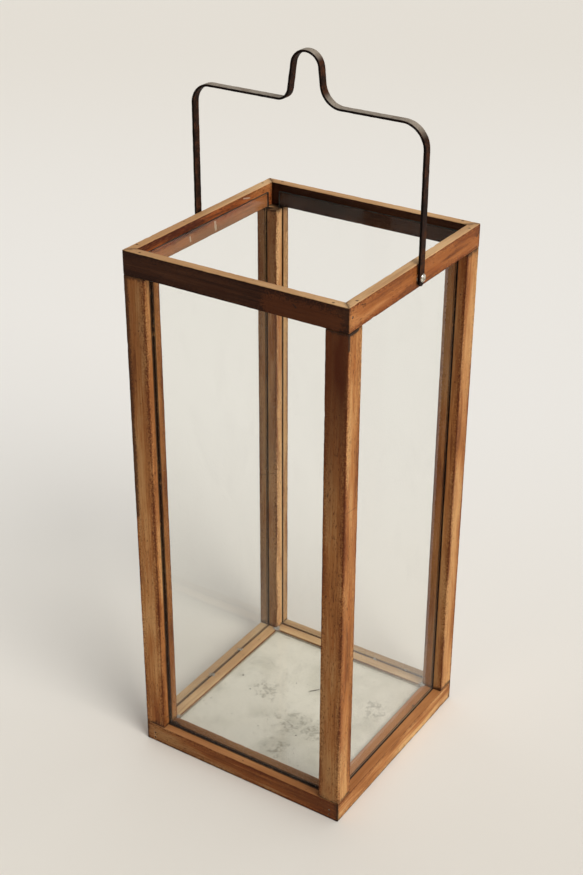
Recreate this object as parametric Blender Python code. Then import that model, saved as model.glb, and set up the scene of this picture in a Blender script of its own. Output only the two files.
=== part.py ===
"""Square candle lantern: a grooved wooden frame, four sliding panes, a glazed floor and an iron bail.

Metres, +Z up, origin at the middle of the underside. Front is -Y, right is +X.
"""

import math

import bmesh
import bpy
from mathutils import Matrix, Vector

# Overall frame
FRAME_WIDTH = 0.280          # outer size along X
FRAME_DEPTH = 0.280          # outer size along Y
FRAME_HEIGHT = 0.655         # underside to rim, without the bail
POST_SIZE = 0.027            # square section of a post, and the width of a bottom rail
TOP_RAIL_HEIGHT = 0.028
TOP_RAIL_THICKNESS = 0.011
BOTTOM_RAIL_HEIGHT = 0.026
ARRIS = 0.0010               # radius of the eased long edges
MATING_GAP = 0.0003          # between pieces that touch

# Glass
PANE_THICKNESS = 0.002
PANE_PLAY = 0.0003           # each side of a pane in its groove
PANE_BEHIND_RAIL = 0.0004    # groove wall behind the inner face of the top rail
GROOVE_DEPTH = 0.006
PANE_SIDE_PLAY = 0.001       # pane edge to groove bottom in a post
PANE_BELOW_RIM = 0.009

# Floor
FLOOR_GLASS_THICKNESS = 0.003
FLOOR_GLASS_RECESS = 0.002   # glass surface below the ledge of the bottom rails
FLOOR_GLASS_PLAY = 0.0006
FLOOR_BOARD_THICKNESS = 0.006
FLOOR_BOARD_ENTRY = 0.004    # how far the board reaches into its grooves
BOARD_GROOVE_DEPTH = 0.005

# Bail
STRAP_WIDTH = 0.010
STRAP_THICKNESS = 0.0028
BAIL_RISE = 0.1467           # rim to the middle of the crossbar
BAIL_BEND_LEFT = 0.0221      # centre-line radii of the two shoulders
BAIL_BEND_RIGHT = 0.0266
HUMP_RISE = 0.0541           # crossbar to the middle of the strap at the hump's top
HUMP_RADIUS = 0.0171
HUMP_SHIFT = 0.0013          # the hump's top stands a little off centre
HUMP_FOOT_LEFT = 0.0211      # where the hump's sides meet the crossbar
HUMP_FOOT_RIGHT = 0.0224
HUMP_FILLET_LEFT = 0.0134
HUMP_FILLET_RIGHT = 0.0246
PIVOT_BELOW_RIM = 0.0155
STRAP_BELOW_PIVOT = 0.0095
PIVOT_PLAY = 0.0003          # strap and washer holes around the screw shank

# Fasteners
WASHER_RADIUS = 0.0055
WASHER_THICKNESS = 0.0008
PIVOT_SHANK = 0.00225
PIVOT_HEAD = 0.0047
PIVOT_HEAD_HEIGHT = 0.0029
PIVOT_SLOT_WIDTH = 0.0011
PIVOT_SLOT_DEPTH = 0.0011
PIVOT_COVER = 0.0012         # wood left between the screw's tip and the inner face of the rail
NAIL_SHANK = 0.0007
NAIL_HEAD = 0.0014
NAIL_HEAD_HEIGHT = 0.0008
NAIL_PUNCHED = 0.0004        # nail heads sit this far below the wood
RIM_NAIL_LENGTH = 0.050
RIM_NAIL_IN = 0.0036         # from the outer face
RIM_NAIL_ALONG = 0.0205      # from the corner
RIM_PIN_LENGTH = 0.028
RIM_PIN_IN = 0.0072
RIM_PIN_BELOW = 0.0125
BASE_PIN_LENGTH = 0.040
BASE_PIN_IN = 0.0120
BASE_PIN_HEIGHTS = {"low": 0.0055, "high": 0.0125}
POST_SCREW_LENGTH = 0.045
POST_SCREW_SHANK = 0.0019
POST_SCREW_HEAD = 0.0038
POST_SCREW_HEAD_HEIGHT = 0.0026
POST_SCREW_IN = 0.0082
POST_SCREW_ALONG = 0.0195

# Lines that several pieces share
GROOVE_NEAR = TOP_RAIL_THICKNESS + PANE_BEHIND_RAIL
GROOVE_FAR = GROOVE_NEAR + PANE_THICKNESS + 2 * PANE_PLAY
POST_BOTTOM = BOTTOM_RAIL_HEIGHT + MATING_GAP
TOP_RAIL_BOTTOM = FRAME_HEIGHT - TOP_RAIL_HEIGHT
POST_TOP = TOP_RAIL_BOTTOM - MATING_GAP
GROOVE_FLOOR = BOTTOM_RAIL_HEIGHT - GROOVE_DEPTH
FLOOR_GLASS_TOP = BOTTOM_RAIL_HEIGHT - FLOOR_GLASS_RECESS
FLOOR_BOARD_TOP = FLOOR_GLASS_TOP - FLOOR_GLASS_THICKNESS - MATING_GAP
FLOOR_BOARD_BOTTOM = FLOOR_BOARD_TOP - FLOOR_BOARD_THICKNESS
PIVOT_HEIGHT = FRAME_HEIGHT - PIVOT_BELOW_RIM
STRAP_INNER = FRAME_WIDTH / 2 + WASHER_THICKNESS + 2 * MATING_GAP
STRAP_CENTRE = STRAP_INNER + STRAP_THICKNESS / 2
PIVOT_HEAD_SEAT = STRAP_INNER + STRAP_THICKNESS + MATING_GAP

# Each side of the frame, seen from outside: its turn about Z, half its length, its distance from the middle,
# and the corners at its left and right ends
SIDES = {
    "front": (0, FRAME_WIDTH / 2, FRAME_DEPTH / 2, ("front_left", "front_right")),
    "right": (90, FRAME_DEPTH / 2, FRAME_WIDTH / 2, ("front_right", "back_right")),
    "back": (180, FRAME_WIDTH / 2, FRAME_DEPTH / 2, ("back_right", "back_left")),
    "left": (270, FRAME_DEPTH / 2, FRAME_WIDTH / 2, ("back_left", "front_left")),
}
CORNERS = {
    "front_left": (0, -FRAME_WIDTH / 2, -FRAME_DEPTH / 2),
    "front_right": (90, FRAME_WIDTH / 2, -FRAME_DEPTH / 2),
    "back_right": (180, FRAME_WIDTH / 2, FRAME_DEPTH / 2),
    "back_left": (270, -FRAME_WIDTH / 2, FRAME_DEPTH / 2),
}
NEIGHBOUR = {
    ("front", 0): "left", ("front", 1): "right",
    ("right", 0): "front", ("right", 1): "back",
    ("back", 0): "right", ("back", 1): "left",
    ("left", 0): "back", ("left", 1): "front",
}


def clear_scene():
    """Remove what the new file opens with."""
    for obj in list(bpy.data.objects):
        bpy.data.objects.remove(obj, do_unlink=True)


def make_material(name, colour, roughness, metallic=0.0, transmission=0.0):
    """A Principled material of one colour."""
    material = bpy.data.materials.new(name)
    material.use_nodes = True
    shader = material.node_tree.nodes["Principled BSDF"]
    shader.inputs["Base Color"].default_value = (*colour, 1.0)
    shader.inputs["Roughness"].default_value = roughness
    shader.inputs["Metallic"].default_value = metallic
    shader.inputs["Transmission Weight"].default_value = transmission
    material.diffuse_color = (*colour, 1.0)
    return material


def new_object(name, bm, material=None, matrix=None):
    """Turn a bmesh into a named object, with its faces pointing out."""
    bmesh.ops.recalc_face_normals(bm, faces=bm.faces)
    mesh = bpy.data.meshes.new(name)
    bm.to_mesh(mesh)
    bm.free()
    obj = bpy.data.objects.new(name, mesh)
    if matrix is not None:
        obj.matrix_world = matrix
    if material is not None:
        mesh.materials.append(material)
    bpy.context.scene.collection.objects.link(obj)
    return obj


def side_matrix(side):
    """Local frame of a side: x along it, y into the lantern from its outer face, z up."""
    turn, _, distance, _ = SIDES[side]
    return Matrix.Rotation(math.radians(turn), 4, "Z") @ Matrix.Translation((0, -distance, 0))


def rounded_box_outline(low, high, radius, steps=3):
    """Rectangle from low to high with rounded corners, anticlockwise."""
    centres = (
        ((high[0] - radius, low[1] + radius), 270),
        ((high[0] - radius, high[1] - radius), 0),
        ((low[0] + radius, high[1] - radius), 90),
        ((low[0] + radius, low[1] + radius), 180),
    )
    points = []
    for (u, v), start in centres:
        for step in range(steps + 1):
            angle = math.radians(start + 90 * step / steps)
            points.append((u + radius * math.cos(angle), v + radius * math.sin(angle)))
    return points


def insert_notch(outline, edge_start, notch):
    """Put the points of a groove after the outline point nearest to edge_start."""
    nearest = min(range(len(outline)), key=lambda i: math.dist(outline[i], edge_start))
    return outline[: nearest + 1] + notch + outline[nearest + 1:]


def prism(name, rings, material=None, matrix=None):
    """Closed solid between two rings that have the same number of points."""
    bm = bmesh.new()
    loops = [[bm.verts.new(point) for point in ring] for ring in rings]
    count = len(rings[0])
    for near, far in zip(loops, loops[1:]):
        for i in range(count):
            j = (i + 1) % count
            bm.faces.new((near[i], near[j], far[j], far[i]))
    bm.faces.new(list(reversed(loops[0])))
    bm.faces.new(loops[-1])
    return new_object(name, bm, material, matrix)


def box(name, low, high, material=None, matrix=None):
    """Plain box from low to high."""
    bm = bmesh.new()
    centre = (Vector(low) + Vector(high)) / 2
    size = Vector(high) - Vector(low)
    placing = Matrix.Translation(centre) @ Matrix.Diagonal((*size, 1.0))
    bmesh.ops.create_cube(bm, size=1.0, matrix=placing)
    return new_object(name, bm, material, matrix)


def turned(name, profile, segments, material=None, matrix=None):
    """Solid of revolution about Z; the profile is (radius, z), from the tip to the top."""
    bm = bmesh.new()
    bottom = bm.verts.new((0, 0, profile[0][1]))
    top = bm.verts.new((0, 0, profile[-1][1]))
    rings = []
    for radius, height in profile:
        if radius > 0:
            angles = [2 * math.pi * i / segments for i in range(segments)]
            ring = [bm.verts.new((radius * math.cos(a), radius * math.sin(a), height)) for a in angles]
            rings.append(ring)
    for i in range(segments):
        j = (i + 1) % segments
        bm.faces.new((bottom, rings[0][j], rings[0][i]))
        bm.faces.new((top, rings[-1][i], rings[-1][j]))
        for near, far in zip(rings, rings[1:]):
            bm.faces.new((near[i], near[j], far[j], far[i]))
    obj = new_object(name, bm, material, matrix)
    obj.data.shade_smooth()
    obj.data.set_sharp_from_angle(angle=math.radians(35))
    return obj


def cut(piece, cutter):
    """Take a hidden cutter out of a piece."""
    cutter.hide_render = True
    cutter.display_type = "WIRE"
    modifier = piece.modifiers.new(cutter.name, "BOOLEAN")
    modifier.operation = "DIFFERENCE"
    modifier.solver = "EXACT"
    modifier.object = cutter


def aim(origin, direction):
    """Frame at origin whose +Z points along direction."""
    turn = Vector(direction).to_track_quat("Z", "Y").to_matrix().to_4x4()
    return Matrix.Translation(origin) @ turn


def pointed_profile(shank, length, head, head_height, tip_share=0.12):
    """Nail or pin: tip at the bottom, flat head whose top is at z = 0."""
    return [
        (0, -length),
        (shank * 0.4, -length + shank),
        (shank, -length * (1 - tip_share)),
        (shank, -head_height),
        (head, -head_height),
        (head, 0),
        (0, 0),
    ]


def nail_hole_profile(length):
    """Hole for a punched nail, with a clearance all round and an open mouth."""
    shank = NAIL_SHANK + MATING_GAP
    head = NAIL_HEAD + MATING_GAP
    shoulder = -NAIL_HEAD_HEIGHT - MATING_GAP
    return [(0, -length - MATING_GAP), (shank, -length - MATING_GAP), (shank, shoulder), (head, shoulder),
            (head, 0.002), (0, 0.002)]


def nail(name, mouth, outward, length, pieces, material):
    """A nail punched below the surface at mouth, with its hole cut through the pieces it joins."""
    seat = Vector(mouth) - Vector(outward) * NAIL_PUNCHED
    frame = aim(seat, outward)
    turned(name, pointed_profile(NAIL_SHANK, length, NAIL_HEAD, NAIL_HEAD_HEIGHT), 10, material, frame)
    hole = turned(f"hole_{name}", nail_hole_profile(length), 10, None, frame)
    for piece in pieces:
        cut(piece, hole)


def build_post(corner, material):
    """Square post with a pane groove in each of its two inner sides, between the two frames."""
    turn, corner_x, corner_y = CORNERS[corner]
    outline = rounded_box_outline((0, 0), (POST_SIZE, POST_SIZE), ARRIS)
    bottom = POST_SIZE - GROOVE_DEPTH
    first = [(POST_SIZE, GROOVE_NEAR), (bottom, GROOVE_NEAR), (bottom, GROOVE_FAR), (POST_SIZE, GROOVE_FAR)]
    second = [(v, u) for u, v in reversed(first)]
    outline = insert_notch(outline, (POST_SIZE, ARRIS), first)
    outline = insert_notch(outline, (POST_SIZE - ARRIS, POST_SIZE), second)
    rings = [[(u, v, height) for u, v in outline] for height in (POST_BOTTOM, POST_TOP)]
    frame = Matrix.Translation((corner_x, corner_y, 0)) @ Matrix.Rotation(math.radians(turn), 4, "Z")
    return prism(f"post_{corner}", rings, material, frame)


def mitred_rail(name, side, outline, material):
    """Rail of constant section (inward, up) whose two ends are cut at 45 degrees."""
    half = SIDES[side][1]
    clearance = MATING_GAP / math.sqrt(2)
    rings = []
    for end in (-1, 1):
        rings.append([(end * (half - inward - clearance), inward, up) for inward, up in outline])
    return prism(name, rings, material, side_matrix(side))


def build_top_rail(side, material):
    """Thin rail on edge, flush with the outer faces, outside the plane of the pane."""
    outline = rounded_box_outline((0, TOP_RAIL_BOTTOM), (TOP_RAIL_THICKNESS, FRAME_HEIGHT), ARRIS)
    return mitred_rail(f"top_rail_{side}", side, outline, material)


def build_bottom_rail(side, material):
    """Rail as wide as a post, with a pane groove on top and the floor board's groove inside."""
    outline = rounded_box_outline((0, 0), (POST_SIZE, BOTTOM_RAIL_HEIGHT), ARRIS)
    board_low = FLOOR_BOARD_BOTTOM - MATING_GAP
    board_high = FLOOR_BOARD_TOP + MATING_GAP
    board_in = POST_SIZE - BOARD_GROOVE_DEPTH
    board = [(POST_SIZE, board_low), (board_in, board_low), (board_in, board_high), (POST_SIZE, board_high)]
    top = BOTTOM_RAIL_HEIGHT
    pane = [(GROOVE_FAR, top), (GROOVE_FAR, GROOVE_FLOOR), (GROOVE_NEAR, GROOVE_FLOOR), (GROOVE_NEAR, top)]
    outline = insert_notch(outline, (POST_SIZE, ARRIS), board)
    outline = insert_notch(outline, (POST_SIZE - ARRIS, top), pane)
    return mitred_rail(f"bottom_rail_{side}", side, outline, material)


def build_pane(side, material):
    """Side pane, standing in the bottom groove and held at its edges by the posts."""
    half = SIDES[side][1] - POST_SIZE + GROOVE_DEPTH - PANE_SIDE_PLAY
    near = GROOVE_NEAR + PANE_PLAY
    low = (-half, near, GROOVE_FLOOR + MATING_GAP)
    high = (half, near + PANE_THICKNESS, FRAME_HEIGHT - PANE_BELOW_RIM)
    return box(f"glass_{side}", low, high, material, side_matrix(side))


def build_floor(glass, board):
    """Loose floor pane on a board whose edges sit in the bottom rails."""
    half_x = FRAME_WIDTH / 2 - POST_SIZE
    half_y = FRAME_DEPTH / 2 - POST_SIZE
    x, y = half_x - FLOOR_GLASS_PLAY, half_y - FLOOR_GLASS_PLAY
    box("floor_glass", (-x, -y, FLOOR_GLASS_TOP - FLOOR_GLASS_THICKNESS), (x, y, FLOOR_GLASS_TOP), glass)
    x, y = half_x + FLOOR_BOARD_ENTRY, half_y + FLOOR_BOARD_ENTRY
    box("floor_board", (-x, -y, FLOOR_BOARD_BOTTOM), (x, y, FLOOR_BOARD_TOP), board)


def fillet_arc(before, corner, after, radius, step_degrees):
    """Points of the arc that rounds a corner of a route."""
    back = (before - corner).normalized()
    ahead = (after - corner).normalized()
    half_angle = back.angle(ahead) / 2
    setback = radius / math.tan(half_angle)
    centre = corner + (back + ahead).normalized() * (radius / math.sin(half_angle))
    start = corner + back * setback - centre
    swing = back.cross(ahead)
    turn = (math.pi - 2 * half_angle) * (-1 if swing > 0 else 1)
    steps = max(2, math.ceil(math.degrees(abs(turn)) / step_degrees))
    angles = [turn * i / steps for i in range(steps + 1)]
    return [centre + Matrix.Rotation(angle, 2) @ start for angle in angles]


def tangent_point(foot, centre, radius, side):
    """Where the straight line from a foot touches a circle, on its left (-1) or right (1) side."""
    reach = foot - centre
    lean = math.acos(radius / reach.length) * side
    return centre + Matrix.Rotation(lean, 2) @ reach.normalized() * radius


def bail_route():
    """Centre line of the bail in (x, z), measured from the pivot, from the left foot to the right foot."""
    bar = BAIL_RISE + PIVOT_BELOW_RIM
    top = Vector((HUMP_SHIFT, bar + HUMP_RISE - HUMP_RADIUS))
    left_foot, right_foot = Vector((-HUMP_FOOT_LEFT, bar)), Vector((HUMP_FOOT_RIGHT, bar))
    left_touch = tangent_point(left_foot, top, HUMP_RADIUS, -1)
    right_touch = tangent_point(right_foot, top, HUMP_RADIUS, 1)
    left_end = Vector((-STRAP_CENTRE, -STRAP_BELOW_PIVOT))
    right_end = Vector((STRAP_CENTRE, -STRAP_BELOW_PIVOT))
    left_shoulder, right_shoulder = Vector((-STRAP_CENTRE, bar)), Vector((STRAP_CENTRE, bar))
    start = (left_touch - top).to_tuple()
    end = (right_touch - top).to_tuple()
    first = math.atan2(start[1], start[0]) % (2 * math.pi)
    last = math.atan2(end[1], end[0])
    steps = math.ceil(math.degrees(first - last) / 9)
    crown = [top + Vector((math.cos(a), math.sin(a))) * HUMP_RADIUS
             for a in (first + (last - first) * i / steps for i in range(steps + 1))]
    return (
        [left_end]
        + fillet_arc(left_end, left_shoulder, left_foot, BAIL_BEND_LEFT, 9)
        + fillet_arc(left_shoulder, left_foot, left_touch, HUMP_FILLET_LEFT, 12)
        + crown
        + fillet_arc(right_touch, right_foot, right_shoulder, HUMP_FILLET_RIGHT, 12)
        + fillet_arc(right_foot, right_shoulder, right_end, BAIL_BEND_RIGHT, 9)
        + [right_end]
    )


def foot_stations(end, towards):
    """Points and half widths that round off the end of the strap."""
    half = STRAP_WIDTH / 2
    direction = (towards - end).normalized()
    stations = []
    for degrees in (15, 35, 55, 75, 90):
        angle = math.radians(degrees)
        stations.append((end + direction * half * (1 - math.cos(angle)), half * math.sin(angle)))
    return stations


def build_bail(material):
    """Flat bar bent on its side, with rounded feet; its origin is on the axis of the two screws."""
    route = bail_route()
    middle = [(point, STRAP_WIDTH / 2) for point in route[1:-1]]
    stations = foot_stations(route[0], route[1]) + middle + foot_stations(route[-1], route[-2])[::-1]
    points = [point for point, _ in stations]
    rings = []
    for i, (point, half_width) in enumerate(stations):
        along = (points[min(i + 1, len(points) - 1)] - points[max(i - 1, 0)]).normalized()
        across = Vector((-along.y, along.x)) * STRAP_THICKNESS / 2
        inner, outer = point - across, point + across
        rings.append([(inner.x, -half_width, inner.y), (inner.x, half_width, inner.y),
                      (outer.x, half_width, outer.y), (outer.x, -half_width, outer.y)])
    bail = prism("bail_handle", rings, material, Matrix.Translation((0, 0, PIVOT_HEIGHT)))
    bail.data.shade_smooth()
    bail.data.set_sharp_from_angle(angle=math.radians(35))
    return bail


def pivot_screw_profile(length):
    """Domed head whose seat is at z = 0, over a pointed shank."""
    dome = []
    for degrees in (0, 18, 36, 54, 72, 90):
        angle = math.radians(degrees)
        dome.append((PIVOT_HEAD * math.cos(angle), PIVOT_HEAD_HEIGHT * (0.2 + 0.8 * math.sin(angle))))
    dome[-1] = (0, PIVOT_HEAD_HEIGHT)
    tip = [(0, -length), (PIVOT_SHANK * 0.3, -length + PIVOT_SHANK * 0.4), (PIVOT_SHANK, -length * 0.7)]
    return tip + [(PIVOT_SHANK, 0), (PIVOT_HEAD, 0)] + dome


def build_pivot(side, rail, bail, steel):
    """Screw and washer of one foot of the bail, with the holes that they pass through."""
    outward = Vector((1, 0, 0)) if side == "right" else Vector((-1, 0, 0))
    seat = outward * PIVOT_HEAD_SEAT + Vector((0, 0, PIVOT_HEIGHT))
    length = PIVOT_HEAD_SEAT - FRAME_WIDTH / 2 + TOP_RAIL_THICKNESS - PIVOT_COVER
    frame = aim(seat, outward)
    screw = turned(f"pivot_screw_{side}", pivot_screw_profile(length), 24, steel, frame)
    slot_low = (-PIVOT_HEAD * 2, -PIVOT_SLOT_WIDTH / 2, PIVOT_HEAD_HEIGHT - PIVOT_SLOT_DEPTH)
    slot_high = (PIVOT_HEAD * 2, PIVOT_SLOT_WIDTH / 2, PIVOT_HEAD_HEIGHT * 2)
    slot_turn = Matrix.Rotation(math.radians(35), 4, "Z")
    cut(screw, box(f"slot_pivot_screw_{side}", slot_low, slot_high, None, frame @ slot_turn))
    hole = PIVOT_SHANK + PIVOT_PLAY
    reach = length + MATING_GAP
    bore = turned(f"hole_pivot_screw_{side}", [(0, -reach), (hole, -reach), (hole, 0.01), (0, 0.01)],
                  24, None, frame)
    washer_seat = outward * (FRAME_WIDTH / 2 + MATING_GAP) + Vector((0, 0, PIVOT_HEIGHT))
    washer_profile = [(0, 0), (WASHER_RADIUS, 0), (WASHER_RADIUS, WASHER_THICKNESS), (0, WASHER_THICKNESS)]
    washer = turned(f"strap_washer_{side}", washer_profile, 24, steel, aim(washer_seat, outward))
    for piece in (washer, rail, bail):
        cut(piece, bore)


def build_rim_fasteners(posts, top_rails, steel):
    """Nails down through each end of the top rails into the posts, and pins across the mitres."""
    for side, (_, half, _, corners) in SIDES.items():
        frame = side_matrix(side)
        for end, corner in enumerate(corners):
            sign = (-1, 1)[end]
            mouth = frame @ Vector((sign * (half - RIM_NAIL_ALONG), RIM_NAIL_IN, FRAME_HEIGHT))
            joined = (top_rails[side], posts[corner])
            nail(f"rim_nail_{side}_{corner}", mouth, (0, 0, 1), RIM_NAIL_LENGTH, joined, steel)
            if side in ("left", "right"):
                mouth = frame @ Vector((sign * (half - RIM_PIN_IN), 0, FRAME_HEIGHT - RIM_PIN_BELOW))
                outward = frame.to_3x3() @ Vector((0, -1, 0))
                joined = (top_rails[side], top_rails[NEIGHBOUR[side, end]])
                nail(f"rim_pin_{corner}", mouth, outward, RIM_PIN_LENGTH, joined, steel)


def build_base_fasteners(posts, bottom_rails, steel, screw_steel):
    """Two pins across each mitre of the lower frame, and screws up into the posts."""
    head, shank = POST_SCREW_HEAD, POST_SCREW_SHANK
    screw_profile = [(0, -POST_SCREW_LENGTH), (shank * 0.3, -POST_SCREW_LENGTH + shank),
                     (shank, -POST_SCREW_LENGTH * 0.85), (shank, -POST_SCREW_HEAD_HEIGHT), (head, -0.0003),
                     (head, 0), (0, 0)]
    hole_end = -POST_SCREW_LENGTH - MATING_GAP
    hole_profile = [(0, hole_end), (shank + MATING_GAP, hole_end),
                    (shank + MATING_GAP, -POST_SCREW_HEAD_HEIGHT - MATING_GAP),
                    (head + MATING_GAP, -2 * MATING_GAP), (head + MATING_GAP, 0.003), (0, 0.003)]
    for side, (_, half, _, corners) in SIDES.items():
        frame = side_matrix(side)
        for end, corner in enumerate(corners):
            sign = (-1, 1)[end]
            seat = frame @ Vector((sign * (half - POST_SCREW_ALONG), POST_SCREW_IN, MATING_GAP))
            placing = aim(seat, (0, 0, -1))
            name = f"post_screw_{side}_{corner}"
            turned(name, screw_profile, 14, screw_steel, placing)
            hole = turned(f"hole_{name}", hole_profile, 14, None, placing)
            cut(bottom_rails[side], hole)
            cut(posts[corner], hole)
            if side in ("front", "back"):
                outward = frame.to_3x3() @ Vector((0, -1, 0))
                joined = (bottom_rails[side], bottom_rails[NEIGHBOUR[side, end]])
                for level, height in BASE_PIN_HEIGHTS.items():
                    mouth = frame @ Vector((sign * (half - BASE_PIN_IN), 0, height))
                    nail(f"base_pin_{corner}_{level}", mouth, outward, BASE_PIN_LENGTH, joined, steel)


def main():
    clear_scene()
    post_wood = make_material("post_wood", (0.33, 0.16, 0.06), 0.55)
    rail_wood = make_material("rail_wood", (0.26, 0.11, 0.045), 0.55)
    clear_glass = make_material("clear_glass", (0.85, 0.90, 0.86), 0.03, transmission=1.0)
    pale_paint = make_material("pale_paint", (0.72, 0.69, 0.60), 0.6)
    iron = make_material("iron", (0.045, 0.035, 0.03), 0.6, metallic=0.8)
    bright_steel = make_material("bright_steel", (0.75, 0.74, 0.70), 0.3, metallic=1.0)
    dull_steel = make_material("dull_steel", (0.30, 0.28, 0.26), 0.5, metallic=1.0)

    posts = {corner: build_post(corner, post_wood) for corner in CORNERS}
    top_rails = {side: build_top_rail(side, rail_wood) for side in SIDES}
    bottom_rails = {side: build_bottom_rail(side, rail_wood) for side in SIDES}
    for side in SIDES:
        build_pane(side, clear_glass)
    build_floor(clear_glass, pale_paint)
    bail = build_bail(iron)
    for side in ("left", "right"):
        build_pivot(side, top_rails[side], bail, bright_steel)
    build_rim_fasteners(posts, top_rails, dull_steel)
    build_base_fasteners(posts, bottom_rails, dull_steel, bright_steel)


main()
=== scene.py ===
"""Square candle lantern, dressed: worn oiled wood, four clear panes, a glazed floor and an iron bail.

Metres, +Z up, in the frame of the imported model. Front is -Y and right is +X. Each shown piece is made of
closed surfaces worked out with numpy and rides on its body. Each but the debris takes the place of the plain
solid that its name begins with.
"""

from __future__ import annotations

import logging
import math
from collections.abc import Callable
from dataclasses import dataclass, field
from enum import Enum

import bmesh
import bpy
import numpy as np
from mathutils import Matrix, Vector

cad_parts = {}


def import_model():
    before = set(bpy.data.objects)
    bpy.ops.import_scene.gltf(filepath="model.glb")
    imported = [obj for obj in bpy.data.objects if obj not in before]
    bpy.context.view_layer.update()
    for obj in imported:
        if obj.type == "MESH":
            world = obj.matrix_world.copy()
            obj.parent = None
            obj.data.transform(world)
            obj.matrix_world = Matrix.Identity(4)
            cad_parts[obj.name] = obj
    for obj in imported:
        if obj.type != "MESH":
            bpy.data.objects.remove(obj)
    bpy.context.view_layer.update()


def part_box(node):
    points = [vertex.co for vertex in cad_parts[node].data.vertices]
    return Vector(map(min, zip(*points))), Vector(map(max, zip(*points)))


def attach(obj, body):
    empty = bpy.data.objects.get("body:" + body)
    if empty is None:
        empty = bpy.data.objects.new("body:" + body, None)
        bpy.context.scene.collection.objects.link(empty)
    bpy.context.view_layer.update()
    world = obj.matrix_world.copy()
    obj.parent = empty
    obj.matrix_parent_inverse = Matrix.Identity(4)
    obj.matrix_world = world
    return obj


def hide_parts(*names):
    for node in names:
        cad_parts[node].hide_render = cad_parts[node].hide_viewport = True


LOG = logging.getLogger("lantern")
Colour = tuple[float, float, float]
Point = tuple[float, float, float]

MM = 0.001
GAP = 0.3 * MM                                      # between pieces that touch
SMOOTH_BELOW = math.radians(35)
BOOLEAN_OVERSHOOT = 2 * MM
SIGNS = {"left": -1, "right": 1}                    # of X, for the bail's two feet
THIN_EDGE = 0.1 * MM                                # reach of the value that marks an arris
WORN_FROM = 0.5 * MM                                # corners of a larger radius are worn, the others crisp


# ---- Shader maths ----


def operator(operation: str, swapped: bool = False) -> Callable[..., Wire]:
    """Make an operator of Wire that adds one Math node, with its own value first or, when swapped, second."""

    def apply(wire: Wire, other: Wire | float = 0.0) -> Wire:
        """Add the node."""
        first, second = (other, wire) if swapped else (wire, other)
        return wire.bench.maths(operation, first, second)

    return apply


class Wire:
    """A node's output. Arithmetic on it adds Math nodes."""

    def __init__(self, bench: NodeBench, socket: bpy.types.NodeSocket) -> None:
        """Keep the socket and the bench that it belongs to."""
        self.bench = bench
        self.socket = socket

    __add__ = __radd__ = operator("ADD")
    __sub__ = operator("SUBTRACT")
    __rsub__ = operator("SUBTRACT", swapped=True)
    __mul__ = __rmul__ = operator("MULTIPLY")
    __truediv__ = operator("DIVIDE")
    __pow__ = operator("POWER")
    sine = operator("SINE")
    most = operator("MAXIMUM")

    def ramp(self, low: float, high: float) -> Wire:
        """Smooth step from 0 at low to 1 at high; low may be above high."""
        limits = {0: self, 1: min(low, high), 2: max(low, high)}
        risen = self.bench.wire("ShaderNodeMapRange", {"interpolation_type": "SMOOTHSTEP"}, limits)
        return risen if low < high else 1 - risen


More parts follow.
